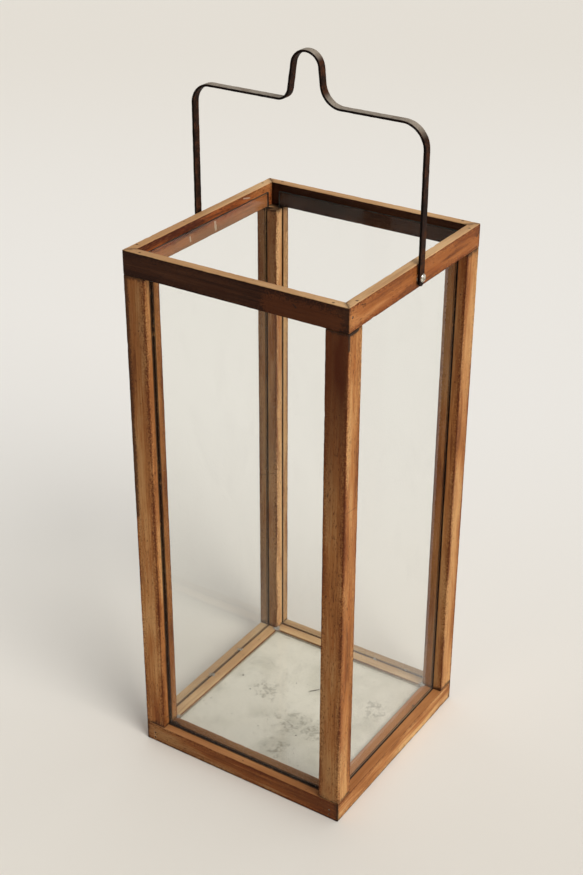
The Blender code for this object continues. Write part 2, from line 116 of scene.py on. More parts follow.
class NodeBench:
    """The nodes of one material, or of the surroundings."""

    def __init__(self, name: str, kind: str = "materials") -> None:
        """Start an empty material or world of that name."""
        self.owner = getattr(bpy.data, kind).new(name)
        self.owner.use_nodes = True
        self.tree = self.owner.node_tree
        self.tree.nodes.clear()

    def add(self, kind: str, settings: dict | None = None, sockets: dict | None = None) -> bpy.types.Node:
        """Make any node.

        Args:
            kind: The node's type.
            settings: Its properties, set first.
            sockets: Values or wires for its inputs, by index or name.

        Returns:
            The node.
        """
        node = self.tree.nodes.new(kind)
        for key, value in (settings or {}).items():
            setattr(node, key, value)
        for key, value in (sockets or {}).items():
            if isinstance(value, Wire):
                self.tree.links.new(value.socket, node.inputs[key])
            elif node.inputs[key].type == "RGBA":
                node.inputs[key].default_value = (*value, 1.0)
            else:
                node.inputs[key].default_value = value
        return node

    def wire(self, kind: str, settings: dict | None, sockets: dict, output: int | str = 0) -> Wire:
        """Make a node and take one of its outputs."""
        return Wire(self, self.add(kind, settings, sockets).outputs[output])

    def maths(self, operation: str, first: Wire | float, second: Wire | float = 0.0) -> Wire:
        """One Math node."""
        return self.wire("ShaderNodeMath", {"operation": operation}, {0: first, 1: second})

    def vector(self, operation: str, *inputs: Wire | Point, output: int = 0) -> Wire:
        """One Vector Math node; its output 0 is a vector and its output 1 a number."""
        sockets = dict(enumerate(inputs))
        return self.wire("ShaderNodeVectorMath", {"operation": operation}, sockets, output)

    def coordinates(self) -> Wire:
        """Object coordinates, which are the lantern's own because every piece sits at the origin."""
        return self.wire("ShaderNodeTexCoord", None, {}, "Object")

    def moved(self, place: Wire, location: Point = (0, 0, 0), scale: Point = (1, 1, 1)) -> Wire:
        """Coordinates scaled, then shifted."""
        return self.wire("ShaderNodeMapping", None, {0: place, 1: location, 3: scale})

    def parts(self, place: Wire) -> tuple[Wire, Wire, Wire]:
        """X, Y and Z of a vector."""
        node = self.add("ShaderNodeSeparateXYZ", None, {0: place})
        return tuple(Wire(self, socket) for socket in node.outputs)

    def noise(self, place: Wire, size: float, detail: float = 2.0, rough: float = 0.5,
              bend: float = 0.0) -> Wire:
        """Smooth noise about 0.5 whose features are about size metres across."""
        sockets = {"Vector": place, "Scale": 1 / size,
                   "Detail": detail, "Roughness": rough, "Distortion": bend}
        return self.wire("ShaderNodeTexNoise", None, sockets)

    def attribute(self, name: str) -> Wire:
        """A value that the mesh holds at its points."""
        return self.wire("ShaderNodeAttribute", {"attribute_name": name}, {}, "Fac")

    def blend(self, share: Wire | float, first: Wire | Colour, second: Wire | Colour) -> Wire:
        """Colour mix: first where share is 0, second where it is 1."""
        return self.wire("ShaderNodeMix", {"data_type": "RGBA"}, {0: share, 6: first, 7: second}, 2)

    def layers(self, colour: Wire | Colour, *coats: tuple[Wire | float, Wire | Colour]) -> Wire | Colour:
        """Lay coats over a colour in turn, each by its share."""
        for share, coat in coats:
            colour = self.blend(share, colour, coat)
        return colour

    def spread(self, place: Wire, centre: Point, reach: float) -> Wire:
        """1 near a centre, falling to 0 at reach."""
        return self.vector("DISTANCE", place, centre, output=1).ramp(reach, reach * 0.15)

    def relief(self, height: Wire, depth: float, strength: float = 1.0) -> Wire:
        """Normal bumped by a height of 0 to 1, depth metres deep."""
        sockets = {"Strength": strength, "Distance": depth, "Height": height}
        return self.wire("ShaderNodeBump", None, sockets)

    def surface(self, shader: bpy.types.Node) -> bpy.types.Material:
        """Wire a shader to the output and return the finished material."""
        self.add("ShaderNodeOutputMaterial", None, {0: Wire(self, shader.outputs[0])})
        return self.owner

    def principled(self, **sockets: Wire | float | Colour) -> bpy.types.Node:
        """A Principled shader; underscores in the names stand for spaces."""
        named = {key.replace("_", " "): value for key, value in sockets.items()}
        return self.add("ShaderNodeBsdfPrincipled", None, named)


# ---- Finishes ----


class Grain(Enum):
    """Which way the wood's fibres run, with the squeeze that stretches a pattern along them."""

    ALONG_X = (1, 0, 0)
    ALONG_Y = (0, 1, 0)
    UPRIGHT = (0, 0, 1)

    def squeeze(self, share: float) -> Point:
        """Scale that makes a pattern 1 / share times longer along the grain."""
        return tuple(share if axis else 1.0 for axis in self.value)


@dataclass(frozen=True)
class Mark:
    """A scratch, a stain or a drip: everything within width of the line from start to end."""

    start: Point
    end: Point
    width: float
    colour: Colour = (0.025, 0.014, 0.009)
    strength: float = 0.85

    def mask(self, bench: NodeBench, place: Wire, ragged: Wire) -> Wire:
        """1 on the line and 0 past its width.

        The distance is |p - a - t d|, where t = (p - a).d / |d|^2 held between 0 and 1.

        Args:
            bench: Where the nodes go.
            place: Object coordinates.
            ragged: Noise about 0.5 that frays the outline.

        Returns:
            The mask, times the mark's strength.
        """
        run = Vector(self.end) - Vector(self.start)
        away = bench.vector("SUBTRACT", place, self.start)
        if run.length > 0:
            share = bench.vector("DOT_PRODUCT", away, tuple(run / run.length_squared), output=1)
            held = bench.wire("ShaderNodeClamp", None, {0: share})
            scaled = {0: tuple(run), "Scale": held}
            along = bench.wire("ShaderNodeVectorMath", {"operation": "SCALE"}, scaled)
            away = bench.vector("SUBTRACT", away, along)
        distance = bench.vector("LENGTH", away, output=1)
        frayed = distance / self.width + (ragged - 0.5) * 1.6
        return frayed.ramp(1.0, 0.55) * self.strength


@dataclass(frozen=True)
class WoodFinish:
    """Oiled hardwood with growth rings, streaks, pores, grime in its joints and rubbed arrises; painted shade
    on its front faces, in its grooves and along its foot.
    """

    label: str
    grain: Grain
    heart: Point                                    # a point on the tree's middle line
    shift: float                                    # moves the pattern, so that no two pieces match
    deep: Colour = (0.170, 0.054, 0.015)
    warm: Colour = (0.430, 0.172, 0.050)
    pale: Colour = (0.600, 0.318, 0.122)
    balance: float = 0.5                            # from deep to pale
    flecks: float = 0.6
    edging: float = 0.95                            # red-brown along the arrises
    front_stain: float = 0.15                       # painted shade on the faces that look to the front
    top_stain: float = 0.0                          # more of that painted shade on the upper part of the front faces
    # height from which that painted shade grows on the front faces
    stain_from: float = 0.35
    grime: float = 0.8                              # in the joints
    soiled: float = 0.92                            # soil and painted shade in the grooves
    clean_lips: float = 0.55                        # 0 where the grooves' soil and painted shade spill onto the lips, 1 where they don't
    bare_above: float = 1.0                         # height past which the stain is rubbed off
    bare: Colour = (0.660, 0.415, 0.205)
    marks: tuple[Mark, ...] = ()
    stretches: tuple[float, ...] = (0.16, 0.035, 0.14)  # along the grain: of tones, fibres and pores
    drift_size: float = 24 * MM                     # slow changes of tone
    redness_size: float = 11 * MM
    patch_size: float = 9 * MM                      # where pores show
    blot_size: float = 8.5 * MM
    figure_size: float = 6 * MM                     # of the bare wood
    ring_spacing: float = 4.2 * MM
    streak_size: float = 3.6 * MM
    spot_size: float = 3.0 * MM                     # fly specks and soot
    speck_size: float = 1.6 * MM
    glint_size: float = 1.3 * MM
    pore_size: float = 1.0 * MM
    fibre_size: float = 0.9 * MM
    redder: Colour = (0.85, 0.60, 0.45)             # factors on the warm tone
    edge_tint: Colour = (0.70, 0.44, 0.34)          # factors on the deep tone
    fleck_tint: Colour = (0.40, 0.30, 0.26)
    # tint of the painted shade on the front faces
    stain_tint: Colour = (0.46, 0.30, 0.22)
    greasy_tint: Colour = (0.50, 0.40, 0.40)
    bare_dark: Colour = (0.70, 0.60, 0.52)          # factors on the bare tone
    bare_streak: Colour = (0.72, 0.60, 0.56)
    grime_colour: Colour = (0.022, 0.011, 0.006)
    spot_colour: Colour = (0.024, 0.013, 0.008)
    # colour of the soil and painted shade in the grooves and of the painted contact shadow along the foot
    packed_dirt: Colour = (0.010, 0.006, 0.004)
    bare_edge: tuple[float, float] = (0.9 * MM, 0.3 * MM)  # below bare_above, where the stain ends
    foot_dirt: tuple[float, float] = (3.4 * MM, 0.4 * MM)  # painted contact shadow along the underside: heights from none to full

    def material(self) -> bpy.types.Material:
        """Build the wood from noise drawn out along the grain, rings about the heart and the mesh's wear,
        with painted shade on front faces, grooves and foot.
        """
        bench = NodeBench(self.label)
        place = bench.coordinates()
        _, _, height = bench.parts(place)
        offset = (self.shift, self.shift * 0.7, self.shift * 1.3)
        squeezes = (self.grain.squeeze(share) for share in self.stretches)
        long, thin, short = (bench.moved(place, offset, squeeze) for squeeze in squeezes)
        drift = bench.noise(long, self.drift_size)
        redness = bench.noise(long, self.redness_size)
        streak = bench.noise(thin, self.streak_size, 3.0, 0.6, 0.2)
        fibre = bench.noise(thin, self.fibre_size, 4.0, 0.7)
        speck = bench.noise(place, self.speck_size)
        blot = bench.noise(place, self.blot_size, 3.0, 0.6)
        pore = bench.noise(short, self.pore_size).ramp(0.565, 0.66)
        patch = bench.noise(long, self.patch_size, 1.0).ramp(0.36, 0.58)
        glint = bench.noise(short, self.glint_size).ramp(0.60, 0.70)
        ring = self.rings(bench, place, drift)
        tone = self.balance + (drift - 0.5) * 2.3 + (streak - 0.5) * 0.9 + ring * 0.05 + (fibre - 0.5) * 0.7
        edge = bench.attribute("edge") * (redness * 0.9 + (speck - 0.5) * 1.7 + 0.1).ramp(0.34, 0.68)
        # painted shade on the faces that look to the front, more of it higher up
        sooted = self.front_stain + height.ramp(self.stain_from, 0.60) * self.top_stain + (drift - 0.5) * 0.7
        arris = bench.attribute("arris")
        stained = bench.layers(
            self.deep,
            (tone.ramp(0.05, 0.62), self.warm),
            (tone.ramp(0.50, 1.05), self.pale),
            (redness.ramp(0.50, 0.70) * 0.40, self.tinted(self.warm, self.redder)),
            (edge * self.edging, self.tinted(self.deep, self.edge_tint)),
            (pore * patch * self.flecks, self.tinted(self.deep, self.fleck_tint)),
            (glint * 0.28 * self.flecks, self.pale),
            # painted shade on the front faces
            (bench.attribute("front").ramp(0.15, 0.75) * sooted, self.tinted(self.deep, self.stain_tint)),
            (arris * drift.ramp(0.54, 0.66) * 0.35, self.pale),
            (arris * drift.ramp(0.62, 0.44) * 0.65, self.tinted(self.deep, self.greasy_tint)),
        )
        tan = bench.layers(
            self.tinted(self.bare, self.bare_dark),
            ((tone - 0.1).ramp(0.1, 0.9), self.bare),
            (bench.noise(long, self.figure_size, 3.0).ramp(0.50, 0.66) * 0.4,
             self.tinted(self.bare, self.bare_streak)),
        )
        stain_ends, bare_begins = (self.bare_above - below for below in self.bare_edge)
        bared = (height + (blot - 0.5) * self.bare_edge[0]).ramp(stain_ends, bare_begins)
        joint = bench.attribute("joint") + (blot - 0.5) * 1.1 + (speck - 0.5) * 0.5
        # soil and painted shade in the grooves and on their lips
        soil_and_shade = bench.attribute("recess").ramp(self.clean_lips, self.clean_lips + 0.40)
        soil_and_shade = soil_and_shade * (blot + 0.5).ramp(0.55, 0.95) * self.soiled
        # painted contact shadow along the underside
        soil_and_shade = soil_and_shade.most(height.ramp(*self.foot_dirt) * blot.ramp(0.30, 0.55) * 0.8)
        spot = bench.noise(place, self.spot_size, 1.0).ramp(0.735, 0.77)
        colour = bench.layers(
            stained,
            (bared, tan),
            (joint.ramp(0.50, 1.0) * self.grime, self.grime_colour),
            # soil, painted shade and painted contact shadow
            (soil_and_shade, self.packed_dirt),
            (spot * 0.65, self.spot_colour),
            *((mark.mask(bench, place, speck), mark.colour) for mark in self.marks),
        )
        rough = 0.46 + fibre * 0.16 + blot * 0.14 + soil_and_shade * 0.2
        raised = fibre * 0.5 + streak * 0.3 + ring * 0.03 - pore * 0.5 + (speck - 0.5) * 0.25
        shader = bench.principled(
            Base_Color=colour, Roughness=rough, Normal=bench.relief(raised, 0.35 * MM, 0.8),
            Specular_IOR_Level=0.10,
        )
        return bench.surface(shader)

    def rings(self, bench: NodeBench, place: Wire, drift: Wire) -> Wire:
        """Sine of the distance from the heart line over the ring spacing, pushed about by the drift."""
        across = self.grain.squeeze(0.0)
        squeezed = bench.moved(place, tuple(-h * s for h, s in zip(self.heart, across)), across)
        distance = bench.vector("LENGTH", squeezed, output=1)
        return ((distance / self.ring_spacing + (drift - 0.5) * 6.0) * (2 * math.pi)).sine()

    @staticmethod
    def tinted(colour: Colour, by: Colour) -> Colour:
        """A colour times another."""
        return tuple(c * b for c, b in zip(colour, by))


@dataclass(frozen=True)
class IronFinish:
    """Black-brown forge scale with rust in patches."""

    label: str = "bail_iron_finish"
    scale: Colour = (0.007, 0.004, 0.003)
    brown: Colour = (0.032, 0.013, 0.007)
    rust: Colour = (0.095, 0.034, 0.015)
    rubbed: Colour = (0.14, 0.10, 0.07)             # along the arrises
    sooted: Colour = (0.004, 0.003, 0.003)          # painted shade on what looks to the front
    # painted sheen on what faces up, laid on like dust
    dust: Colour = (0.300, 0.255, 0.205)

    def material(self) -> bpy.types.Material:
        """Mix the tones by noise; rust is rougher than scale, a painted sheen lies like dust on what faces
        up, and painted shade lies on what looks to the front.
        """
        bench = NodeBench(self.label)
        place = bench.coordinates()
        cloud = bench.noise(place, 14 * MM, 5.0, 0.65)
        grit = bench.noise(place, 1.2 * MM, 4.0, 0.7)
        rusty = (cloud * 0.6 + bench.noise(place, 4.5 * MM, 4.0, 0.7) * 0.55).ramp(0.56, 0.70)
        # painted sheen on what faces up, laid on like dust
        dusty = bench.attribute("up").ramp(0.40, 0.90) * (1.0 - rusty * 0.3) * (grit + 0.3).ramp(0.5, 0.80)
        colour = bench.layers(
            self.scale,
            ((cloud + (grit - 0.5) * 0.7).ramp(0.32, 0.62), self.brown),
            (rusty * grit.ramp(0.40, 0.58), self.rust),
            (bench.attribute("arris") * cloud.ramp(0.50, 0.64) * 0.15, self.rubbed),
            # painted shade on what looks to the front
            (bench.attribute("front").ramp(0.35, 0.80) * 0.85, self.sooted),
            # painted sheen on what faces up
            (dusty, self.dust),
        )
        shader = bench.principled(
            Base_Color=colour, Roughness=0.42 + rusty * 0.25 + grit * 0.18, Specular_IOR_Level=0.04,
            Normal=bench.relief(grit * 0.6 + cloud * 0.8, 0.35 * MM, 0.9),
        )
        return bench.surface(shader)


@dataclass(frozen=True)
class SteelFinish:
    """Plated or dull steel with fine scratches and tarnish."""

    label: str
    clean: Colour
    tarnish: Colour
    tarnished: float                                # share of the surface, 0 to 1
    rough: float

    def material(self) -> bpy.types.Material:
        """Tarnish where the noise is high; scratches are noise drawn out along X."""
        bench = NodeBench(self.label)
        place = bench.coordinates()
        cloud = bench.noise(place, 2.2 * MM, 4.0, 0.65)
        scratch = bench.noise(bench.moved(place, scale=(0.2, 1.0, 1.0)), 0.3 * MM)
        dull = cloud.ramp(0.72 - 0.45 * self.tarnished, 0.80 - 0.35 * self.tarnished)
        shader = bench.principled(
            Base_Color=bench.blend(dull, self.clean, self.tarnish), Metallic=1.0 - dull * 0.7,
            Roughness=self.rough + dull * 0.35 + (scratch - 0.5) * 0.25,
            Normal=bench.relief(scratch * 0.4 + cloud, 0.12 * MM, 0.7),
        )
        return bench.surface(shader)


@dataclass(frozen=True)
class PaneFinish:
    """Thin clear glass: light goes straight through, a share is mirrored, and dust lies on it."""

    label: str
    tint: Colour = (0.986, 0.986, 0.977)
    dust: Colour = (0.70, 0.68, 0.62)
    haze: float = 0.004                             # dust everywhere
    foot_haze: float = 0.035                        # more of it from foot_height down
    foot_height: float = 0.22
    smears: float = 0.018
    specks: float = 0.5
    mirror: float = 0.009                           # share mirrored when seen square on
    glancing: float = 0.9                           # more of it at a glancing view
    edge_dark: Colour = (0.008, 0.011, 0.009)
    edge_light: Colour = (0.026, 0.036, 0.030)

    def material(self) -> bpy.types.Material:
        """Mirror share = mirror + glancing * f^5, where f is 1 at a glancing view; dust is noise."""
        bench = NodeBench(self.label)
        place = bench.coordinates()
        facing = bench.wire("ShaderNodeLayerWeight", None, {0: 0.5}, "Facing")
        mirrored = self.mirror + facing ** 5.0 * self.glancing
        clear = bench.wire("ShaderNodeBsdfTransparent", None, {0: self.tint})
        wave = bench.relief(bench.noise(place, 90 * MM, 1.0), 0.6 * MM)
        polish = {"Color": (1.0, 1.0, 1.0), "Roughness": 0.03, "Normal": wave}
        mirror = bench.wire("ShaderNodeBsdfGlossy", None, polish)
        glass = bench.wire("ShaderNodeMixShader", None, {0: mirrored, 1: clear, 2: mirror})
        _, _, height = bench.parts(place)
        wiped = bench.moved(place, scale=(1, 1, 0.45))
        smear = bench.noise(wiped, 50 * MM, 4.0, 0.6, 0.6).ramp(0.50, 0.78)
        foot = height.ramp(self.foot_height, 0.02)
        speck = bench.noise(place, 2.1 * MM).ramp(0.735, 0.78)
        dusty = self.haze + foot * self.foot_haze + smear * self.smears + speck * self.specks
        matt = bench.wire("ShaderNodeBsdfDiffuse", None, {0: self.dust})
        return bench.surface(bench.add("ShaderNodeMixShader", None, {0: dusty, 1: glass, 2: matt}))

    def edge_material(self) -> bpy.types.Material:
        """The cut edges, where the glass is seen end on and looks dark green."""
        bench = NodeBench(f"{self.label}_edge")
        cloud = bench.noise(bench.coordinates(), 6 * MM, 3.0)
        colour = bench.blend(cloud.ramp(0.4, 0.6), self.edge_dark, self.edge_light)
        return bench.surface(bench.principled(Base_Color=colour, Roughness=0.15 + cloud * 0.35))


@dataclass(frozen=True)
class PaintFinish:
    """Pale matt paint with soot, drips and brush marks."""

    label: str = "pale_board_finish"
    paint: Colour = (0.900, 0.865, 0.780)
    aged: Colour = (0.770, 0.740, 0.650)
    soot: Colour = (0.165, 0.140, 0.092)
    sooty_spots: tuple[Point, ...] = ((0.008, -0.038, 0.0), (0.042, -0.040, 0.0), (-0.056, -0.004, 0.0),
                                      (0.020, -0.088, 0.0), (0.085, 0.040, 0.0))
    sooty_reach: float = 0.040

    def material(self) -> bpy.types.Material:
        """Aged patches by large noise; soot where a ragged noise is high, mostly near the sooty spots."""
        bench = NodeBench(self.label)
        place = bench.coordinates()
        cloud = bench.noise(place, 55 * MM, 4.0, 0.6)
        brush = bench.noise(bench.moved(place, scale=(0.08, 1.0, 1.0)), 2.4 * MM, 3.0)
        ragged = bench.noise(place, 8 * MM, 8.0, 0.80)
        spot = bench.noise(place, 2.6 * MM, 3.0, 0.6)
        flat = bench.moved(place, scale=(1, 1, 0))
        near = bench.spread(flat, self.sooty_spots[0], self.sooty_reach)
        for centre in self.sooty_spots[1:]:
            near = near.most(bench.spread(flat, centre, self.sooty_reach * 0.8))
        sooty = (ragged + near * 0.10).ramp(0.585, 0.635)
        colour = bench.layers(
            self.paint,
            (cloud.ramp(0.42, 0.68), self.aged),
            (near * cloud.ramp(0.36, 0.62) * 0.13, self.soot),
            (sooty * (near * 0.25 + 0.25), self.soot),
            (spot.ramp(0.665, 0.71) * 0.55, self.soot),
        )
        shader = bench.principled(
            Base_Color=colour, Roughness=0.62 + cloud * 0.2,
            Normal=bench.relief(brush * 0.7 + spot * 0.3, 0.3 * MM, 0.6),
        )
        return bench.surface(shader)


@dataclass(frozen=True)
class DebrisFinish:
    """Two tones of dry matter, mottled."""

    label: str
    dark: Colour
    light: Colour

    def material(self) -> bpy.types.Material:
        """Mix the tones by fine noise, fully rough."""
        bench = NodeBench(self.label)
        cloud = bench.noise(bench.coordinates(), 1.6 * MM, 3.0)
        colour = bench.blend(cloud.ramp(0.38, 0.62), self.dark, self.light)
        return bench.surface(bench.principled(Base_Color=colour, Roughness=0.8 + cloud * 0.15))


# ---- Surfaces ----


def unit(vectors: np.ndarray) -> np.ndarray:
    """Vectors divided by their length."""
    return vectors / np.linalg.norm(vectors, axis=-1, keepdims=True)


def ripple(rng: np.random.Generator, along: np.ndarray, lengths: tuple[float, ...]) -> np.ndarray:
    """Smooth wander between -1 and 1: the mean of sines of the given wavelengths with random phases."""
    waves = [np.sin(2 * np.pi * (along / length + rng.random())) for length in lengths]
    return np.mean(waves, axis=0)


def make_piece(name: str, bodies: list[np.ndarray], material: bpy.types.Material,
               values: dict[str, np.ndarray] | None = None) -> bpy.types.Object:
    """Turn closed bodies into one smooth-shaded object whose faces point out.

    Args:
        name: The piece's name.
        bodies: The rings of each body.
        material: Its finish.
        values: Numbers held at the points, by attribute name.

    Returns:
        The object, linked to the scene.
    """
    points, faces, first = [], [], 0
    for rings in bodies:
        points.append(rings.reshape(-1, 3))
        faces += carried(rings.shape[0], rings.shape[1], first)
        first += len(points[-1])
    mesh = bpy.data.meshes.new(name)
    mesh.from_pydata(np.concatenate(points).tolist(), [], faces)
    bm = bmesh.new()
    bm.from_mesh(mesh)
    bmesh.ops.recalc_face_normals(bm, faces=bm.faces)
    bm.to_mesh(mesh)
    bm.free()
    normals = np.empty(len(mesh.vertices) * 3, np.float32)
    mesh.vertex_normals.foreach_get("vector", normals)
    normals = normals.reshape(-1, 3)
    values = {"front": -normals[:, 1], "up": normals[:, 2], **(values or {})}
    for key, numbers in values.items():
        attribute = mesh.attributes.new(key, "FLOAT", "POINT")
        attribute.data.foreach_set("value", np.ascontiguousarray(numbers, np.float32))
    mesh.materials.append(material)
    mesh.shade_smooth()
    mesh.set_sharp_from_angle(angle=SMOOTH_BELOW)
    piece = bpy.data.objects.new(name, mesh)
    bpy.context.scene.collection.objects.link(piece)
    return piece


def carried(count: int, size: int, first: int) -> list:
    """Faces of a body of rings: quads between neighbouring rings and a flat cap at each end.

    Args:
        count: How many rings.
        size: Points in each.
        first: Number of the body's first point.

    Returns:
        Lists of point numbers.
    """
    start = np.arange(count - 1)[:, None] * size + first
    here = start + np.arange(size)
    beside = start + (np.arange(size) + 1) % size
    quads = np.stack([here, beside, beside + size, here + size], axis=-1).reshape(-1, 4)
    near = (np.arange(size)[::-1] + first).tolist()
    far = (np.arange(size) + (count - 1) * size + first).tolist()
    return quads.tolist() + [near, far]


def turned(radius: np.ndarray, height: np.ndarray, segments: int) -> np.ndarray:
    """Rings about Z: x = r cos a, y = r sin a, where r may also vary with the angle."""
    angle = np.linspace(0, 2 * np.pi, segments, endpoint=False)
    spread = radius if radius.ndim == 2 else radius[:, None] * np.ones(segments)
    tall = height[:, None] * np.ones(segments)
    return np.stack([spread * np.cos(angle), spread * np.sin(angle), tall], axis=-1)


def aimed(points: np.ndarray, origin: Point, direction: Point) -> np.ndarray:
    """Points turned so that their +Z runs along direction, then moved to origin."""
    turn = np.array(Vector(direction).to_track_quat("Z", "Y").to_matrix())
    return points @ turn.T + np.array(origin)


def cut_out(piece: bpy.types.Object, bodies: list[np.ndarray]) -> None:
    """Take closed bodies, given as rings of points, out of a piece.

    Args:
        piece: The piece, whose mesh is replaced by the cut one.
        bodies: The rings of each body.
    """
    cutter = make_piece(f"cutter_{piece.name}", bodies, piece.data.materials[0])
    modifier = piece.modifiers.new("holes", "BOOLEAN")
    modifier.operation = "DIFFERENCE"
    modifier.solver = "EXACT"
    modifier.object = cutter
    bpy.context.view_layer.update()
    evaluated = piece.evaluated_get(bpy.context.evaluated_depsgraph_get())
    drilled = bpy.data.meshes.new_from_object(evaluated)
    piece.modifiers.clear()
    piece.data = drilled
    bpy.data.objects.remove(cutter, do_unlink=True)
    drilled.set_sharp_from_angle(angle=SMOOTH_BELOW)


def settle(piece: bpy.types.Object, body: str, node: str | None = None) -> None:
    """Hand a finished piece to its body and the plain solid that it stands for."""
    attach(piece, body)
    if node is not None:
        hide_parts(node)
    LOG.info("%s: %d faces, rides on %s", piece.name, len(piece.data.polygons), body)


def dress(node: str, manner: str, rings: np.ndarray, material: bpy.types.Material,
          holes: list[np.ndarray] | None = None, values: dict[str, np.ndarray] | None = None,
          body: str = "frame") -> None:
    """Make the piece that stands for a plain solid, drill it and hand it over.

    Args:
        node: The plain solid's name.
        manner: How it was worked, added to the name.
        rings: Its points by ring.
        material: Its finish.
        holes: The rings of each hole.
        values: Numbers held at the points.
        body: What it rides on.
    """
    piece = make_piece(f"{node}_{manner}", [rings], material, values)
    if holes:
        cut_out(piece, holes)
    settle(piece, body, node)


@dataclass
class Outline:
    """Closed outline of right angles with rounded corners, anticlockwise, and points along its flats."""

    corners: np.ndarray
    radii: np.ndarray
    spacing: float = 3 * MM
    arc_steps: int = 4
    skirt: float = 0.8 * MM                         # from a rounded corner to the flat's first point

    def rings(self, growth: np.ndarray, inset: np.ndarray) -> np.ndarray:
        """The outline at every station.

        A corner c between the directions p and n to its neighbours is drawn as
        c + r [(1 - sin f) p + (1 - cos f) n] for f from 0 to 90 degrees, which is a quarter circle.

        Args:
            growth: Factor on each corner's radius, by station and corner.
            inset: How far the whole outline shrinks, by station.

        Returns:
            The points by station, place and axis.
        """
        back, ahead, convex = self.directions()
        fan = np.linspace(0, np.pi / 2, self.arc_steps + 1)
        radius = (self.radii * growth)[:, :, None, None]
        shifted = self.corners + inset[:, None, None] * (convex[:, None] * (back + ahead))
        bend = (1 - np.sin(fan))[:, None] * back[:, None] + (1 - np.cos(fan))[:, None] * ahead[:, None]
        arcs = shifted[:, :, None] + radius * bend
        following = np.roll(arcs, -1, axis=1)
        pieces = []
        for i, share in enumerate(self.shares()):
            flat = arcs[:, i, -1:] + (following[:, i, :1] - arcs[:, i, -1:]) * share[:, None]
            pieces += [arcs[:, i], flat]
        return np.concatenate(pieces, axis=1)

    def directions(self) -> tuple[np.ndarray, np.ndarray, np.ndarray]:
        """From each corner, the ways back and ahead, and 1 where it is convex or -1 where it isn't."""
        back = unit(np.roll(self.corners, 1, axis=0) - self.corners)
        ahead = unit(np.roll(self.corners, -1, axis=0) - self.corners)
        return back, ahead, np.sign(-back[:, 0] * ahead[:, 1] + back[:, 1] * ahead[:, 0])

    def shares(self) -> list[np.ndarray]:
        """Where the inner points of the flat after each corner lie."""
        lengths = np.linalg.norm(np.roll(self.corners, -1, axis=0) - self.corners, axis=1)
        return [self.flat_shares(float(length)) for length in lengths]

    def nearness(self, worn: bool, reach: float) -> np.ndarray:
        """At every place, exp(-distance / reach) to the nearest convex corner that is worn, or crisp."""
        _, _, convex = self.directions()
        chosen = ((convex > 0) & ((self.radii > WORN_FROM) == worn)).astype(float)
        following = np.roll(chosen, -1)
        lengths = np.linalg.norm(np.roll(self.corners, -1, axis=0) - self.corners, axis=1)
        pieces = []
        for i, share in enumerate(self.shares()):
            here, there = (np.exp(-lengths[i] * part / reach) for part in (share, 1 - share))
            flat = np.maximum(chosen[i] * here, following[i] * there)
            pieces += [np.full(self.arc_steps + 1, chosen[i]), flat]
        return np.concatenate(pieces)

    def flat_shares(self, length: float) -> np.ndarray:
        """Where a flat's inner points lie, as shares of its length: an even row between two skirts."""
        if length < 3 * self.skirt:
            return np.zeros(0)
        edge = self.skirt / length
        return np.linspace(edge, 1 - edge, max(2, round(length / self.spacing) + 1))

    def depth(self, points: np.ndarray) -> np.ndarray:
        """How deep points lie inside the outline's bounding rectangle."""
        low, high = self.corners.min(axis=0), self.corners.max(axis=0)
        return np.minimum(points - low, high - points).min(axis=-1)


def rectangle(low: tuple[float, float], high: tuple[float, float]) -> np.ndarray:
    """The four corners of a rectangle, anticlockwise."""
    return np.array([(low[0], low[1]), (high[0], low[1]), (high[0], high[1]), (low[0], high[1])])


def stations(length: float, spacing: float, bevel: float) -> tuple[np.ndarray, np.ndarray]:
    """Places along a run, and how far the outline shrinks at each: a small bevel at both ends."""
    inner = np.linspace(bevel, length - bevel, max(2, round(length / spacing) + 1))
    along = np.concatenate([[0.0], inner, [length]])
    inset = np.zeros(len(along))
    inset[[0, -1]] = bevel
    return along, inset


# ---- Where things are ----


def quarter_turn(degrees: int) -> tuple[int, int]:
    """Cosine and sine of a whole number of right angles."""
    return round(math.cos(math.radians(degrees))), round(math.sin(math.radians(degrees)))


class Side(Enum):
    """A side of the lantern, by its turn about Z from the front, in degrees."""

    FRONT = 0
    RIGHT = 90
    BACK = 180
    LEFT = 270

    @property
    def label(self) -> str:
        """The side's name as the nodes spell it."""
        return self.name.lower()

    @property
    def grain(self) -> Grain:
        """Which way a rail on this side runs."""
        return Grain.ALONG_X if self in (Side.FRONT, Side.BACK) else Grain.ALONG_Y

    def place(self, along: np.ndarray, inward: np.ndarray, up: np.ndarray, distance: float) -> np.ndarray:
        """From along, inward from the outer face and up, as seen from outside, to X, Y and Z."""
        cos, sin = quarter_turn(self.value)
        depth = inward - distance
        x, y, z = np.broadcast_arrays(along * cos - depth * sin, along * sin + depth * cos, up)
        return np.stack([x, y, z], axis=-1)


class Corner(Enum):
    """A corner of the lantern: its turn about Z in degrees and its signs of X and Y."""

    FRONT_LEFT = (0, -1, -1)
    FRONT_RIGHT = (90, 1, -1)
    BACK_RIGHT = (180, 1, 1)
    BACK_LEFT = (270, -1, 1)

    @property
    def label(self) -> str:
        """The corner's name as the nodes spell it."""
        return self.name.lower()

    @property
    def sides(self) -> tuple[str, str]:
        """The two sides that meet here, front or back first."""
        first, second = self.label.split("_")
        return first, second

    def place(self, section: np.ndarray, up: np.ndarray, half: float) -> np.ndarray:
        """From a section measured inwards from the corner, and a height, to X, Y and Z."""
        turn, sign_x, sign_y = self.value
        cos, sin = quarter_turn(turn)
        u, v = section[..., 0], section[..., 1]
        spun_x, spun_y = u * cos - v * sin, u * sin + v * cos
        x, y, z = np.broadcast_arrays(sign_x * half + spun_x, sign_y * half + spun_y, up)
        return np.stack([x, y, z], axis=-1)


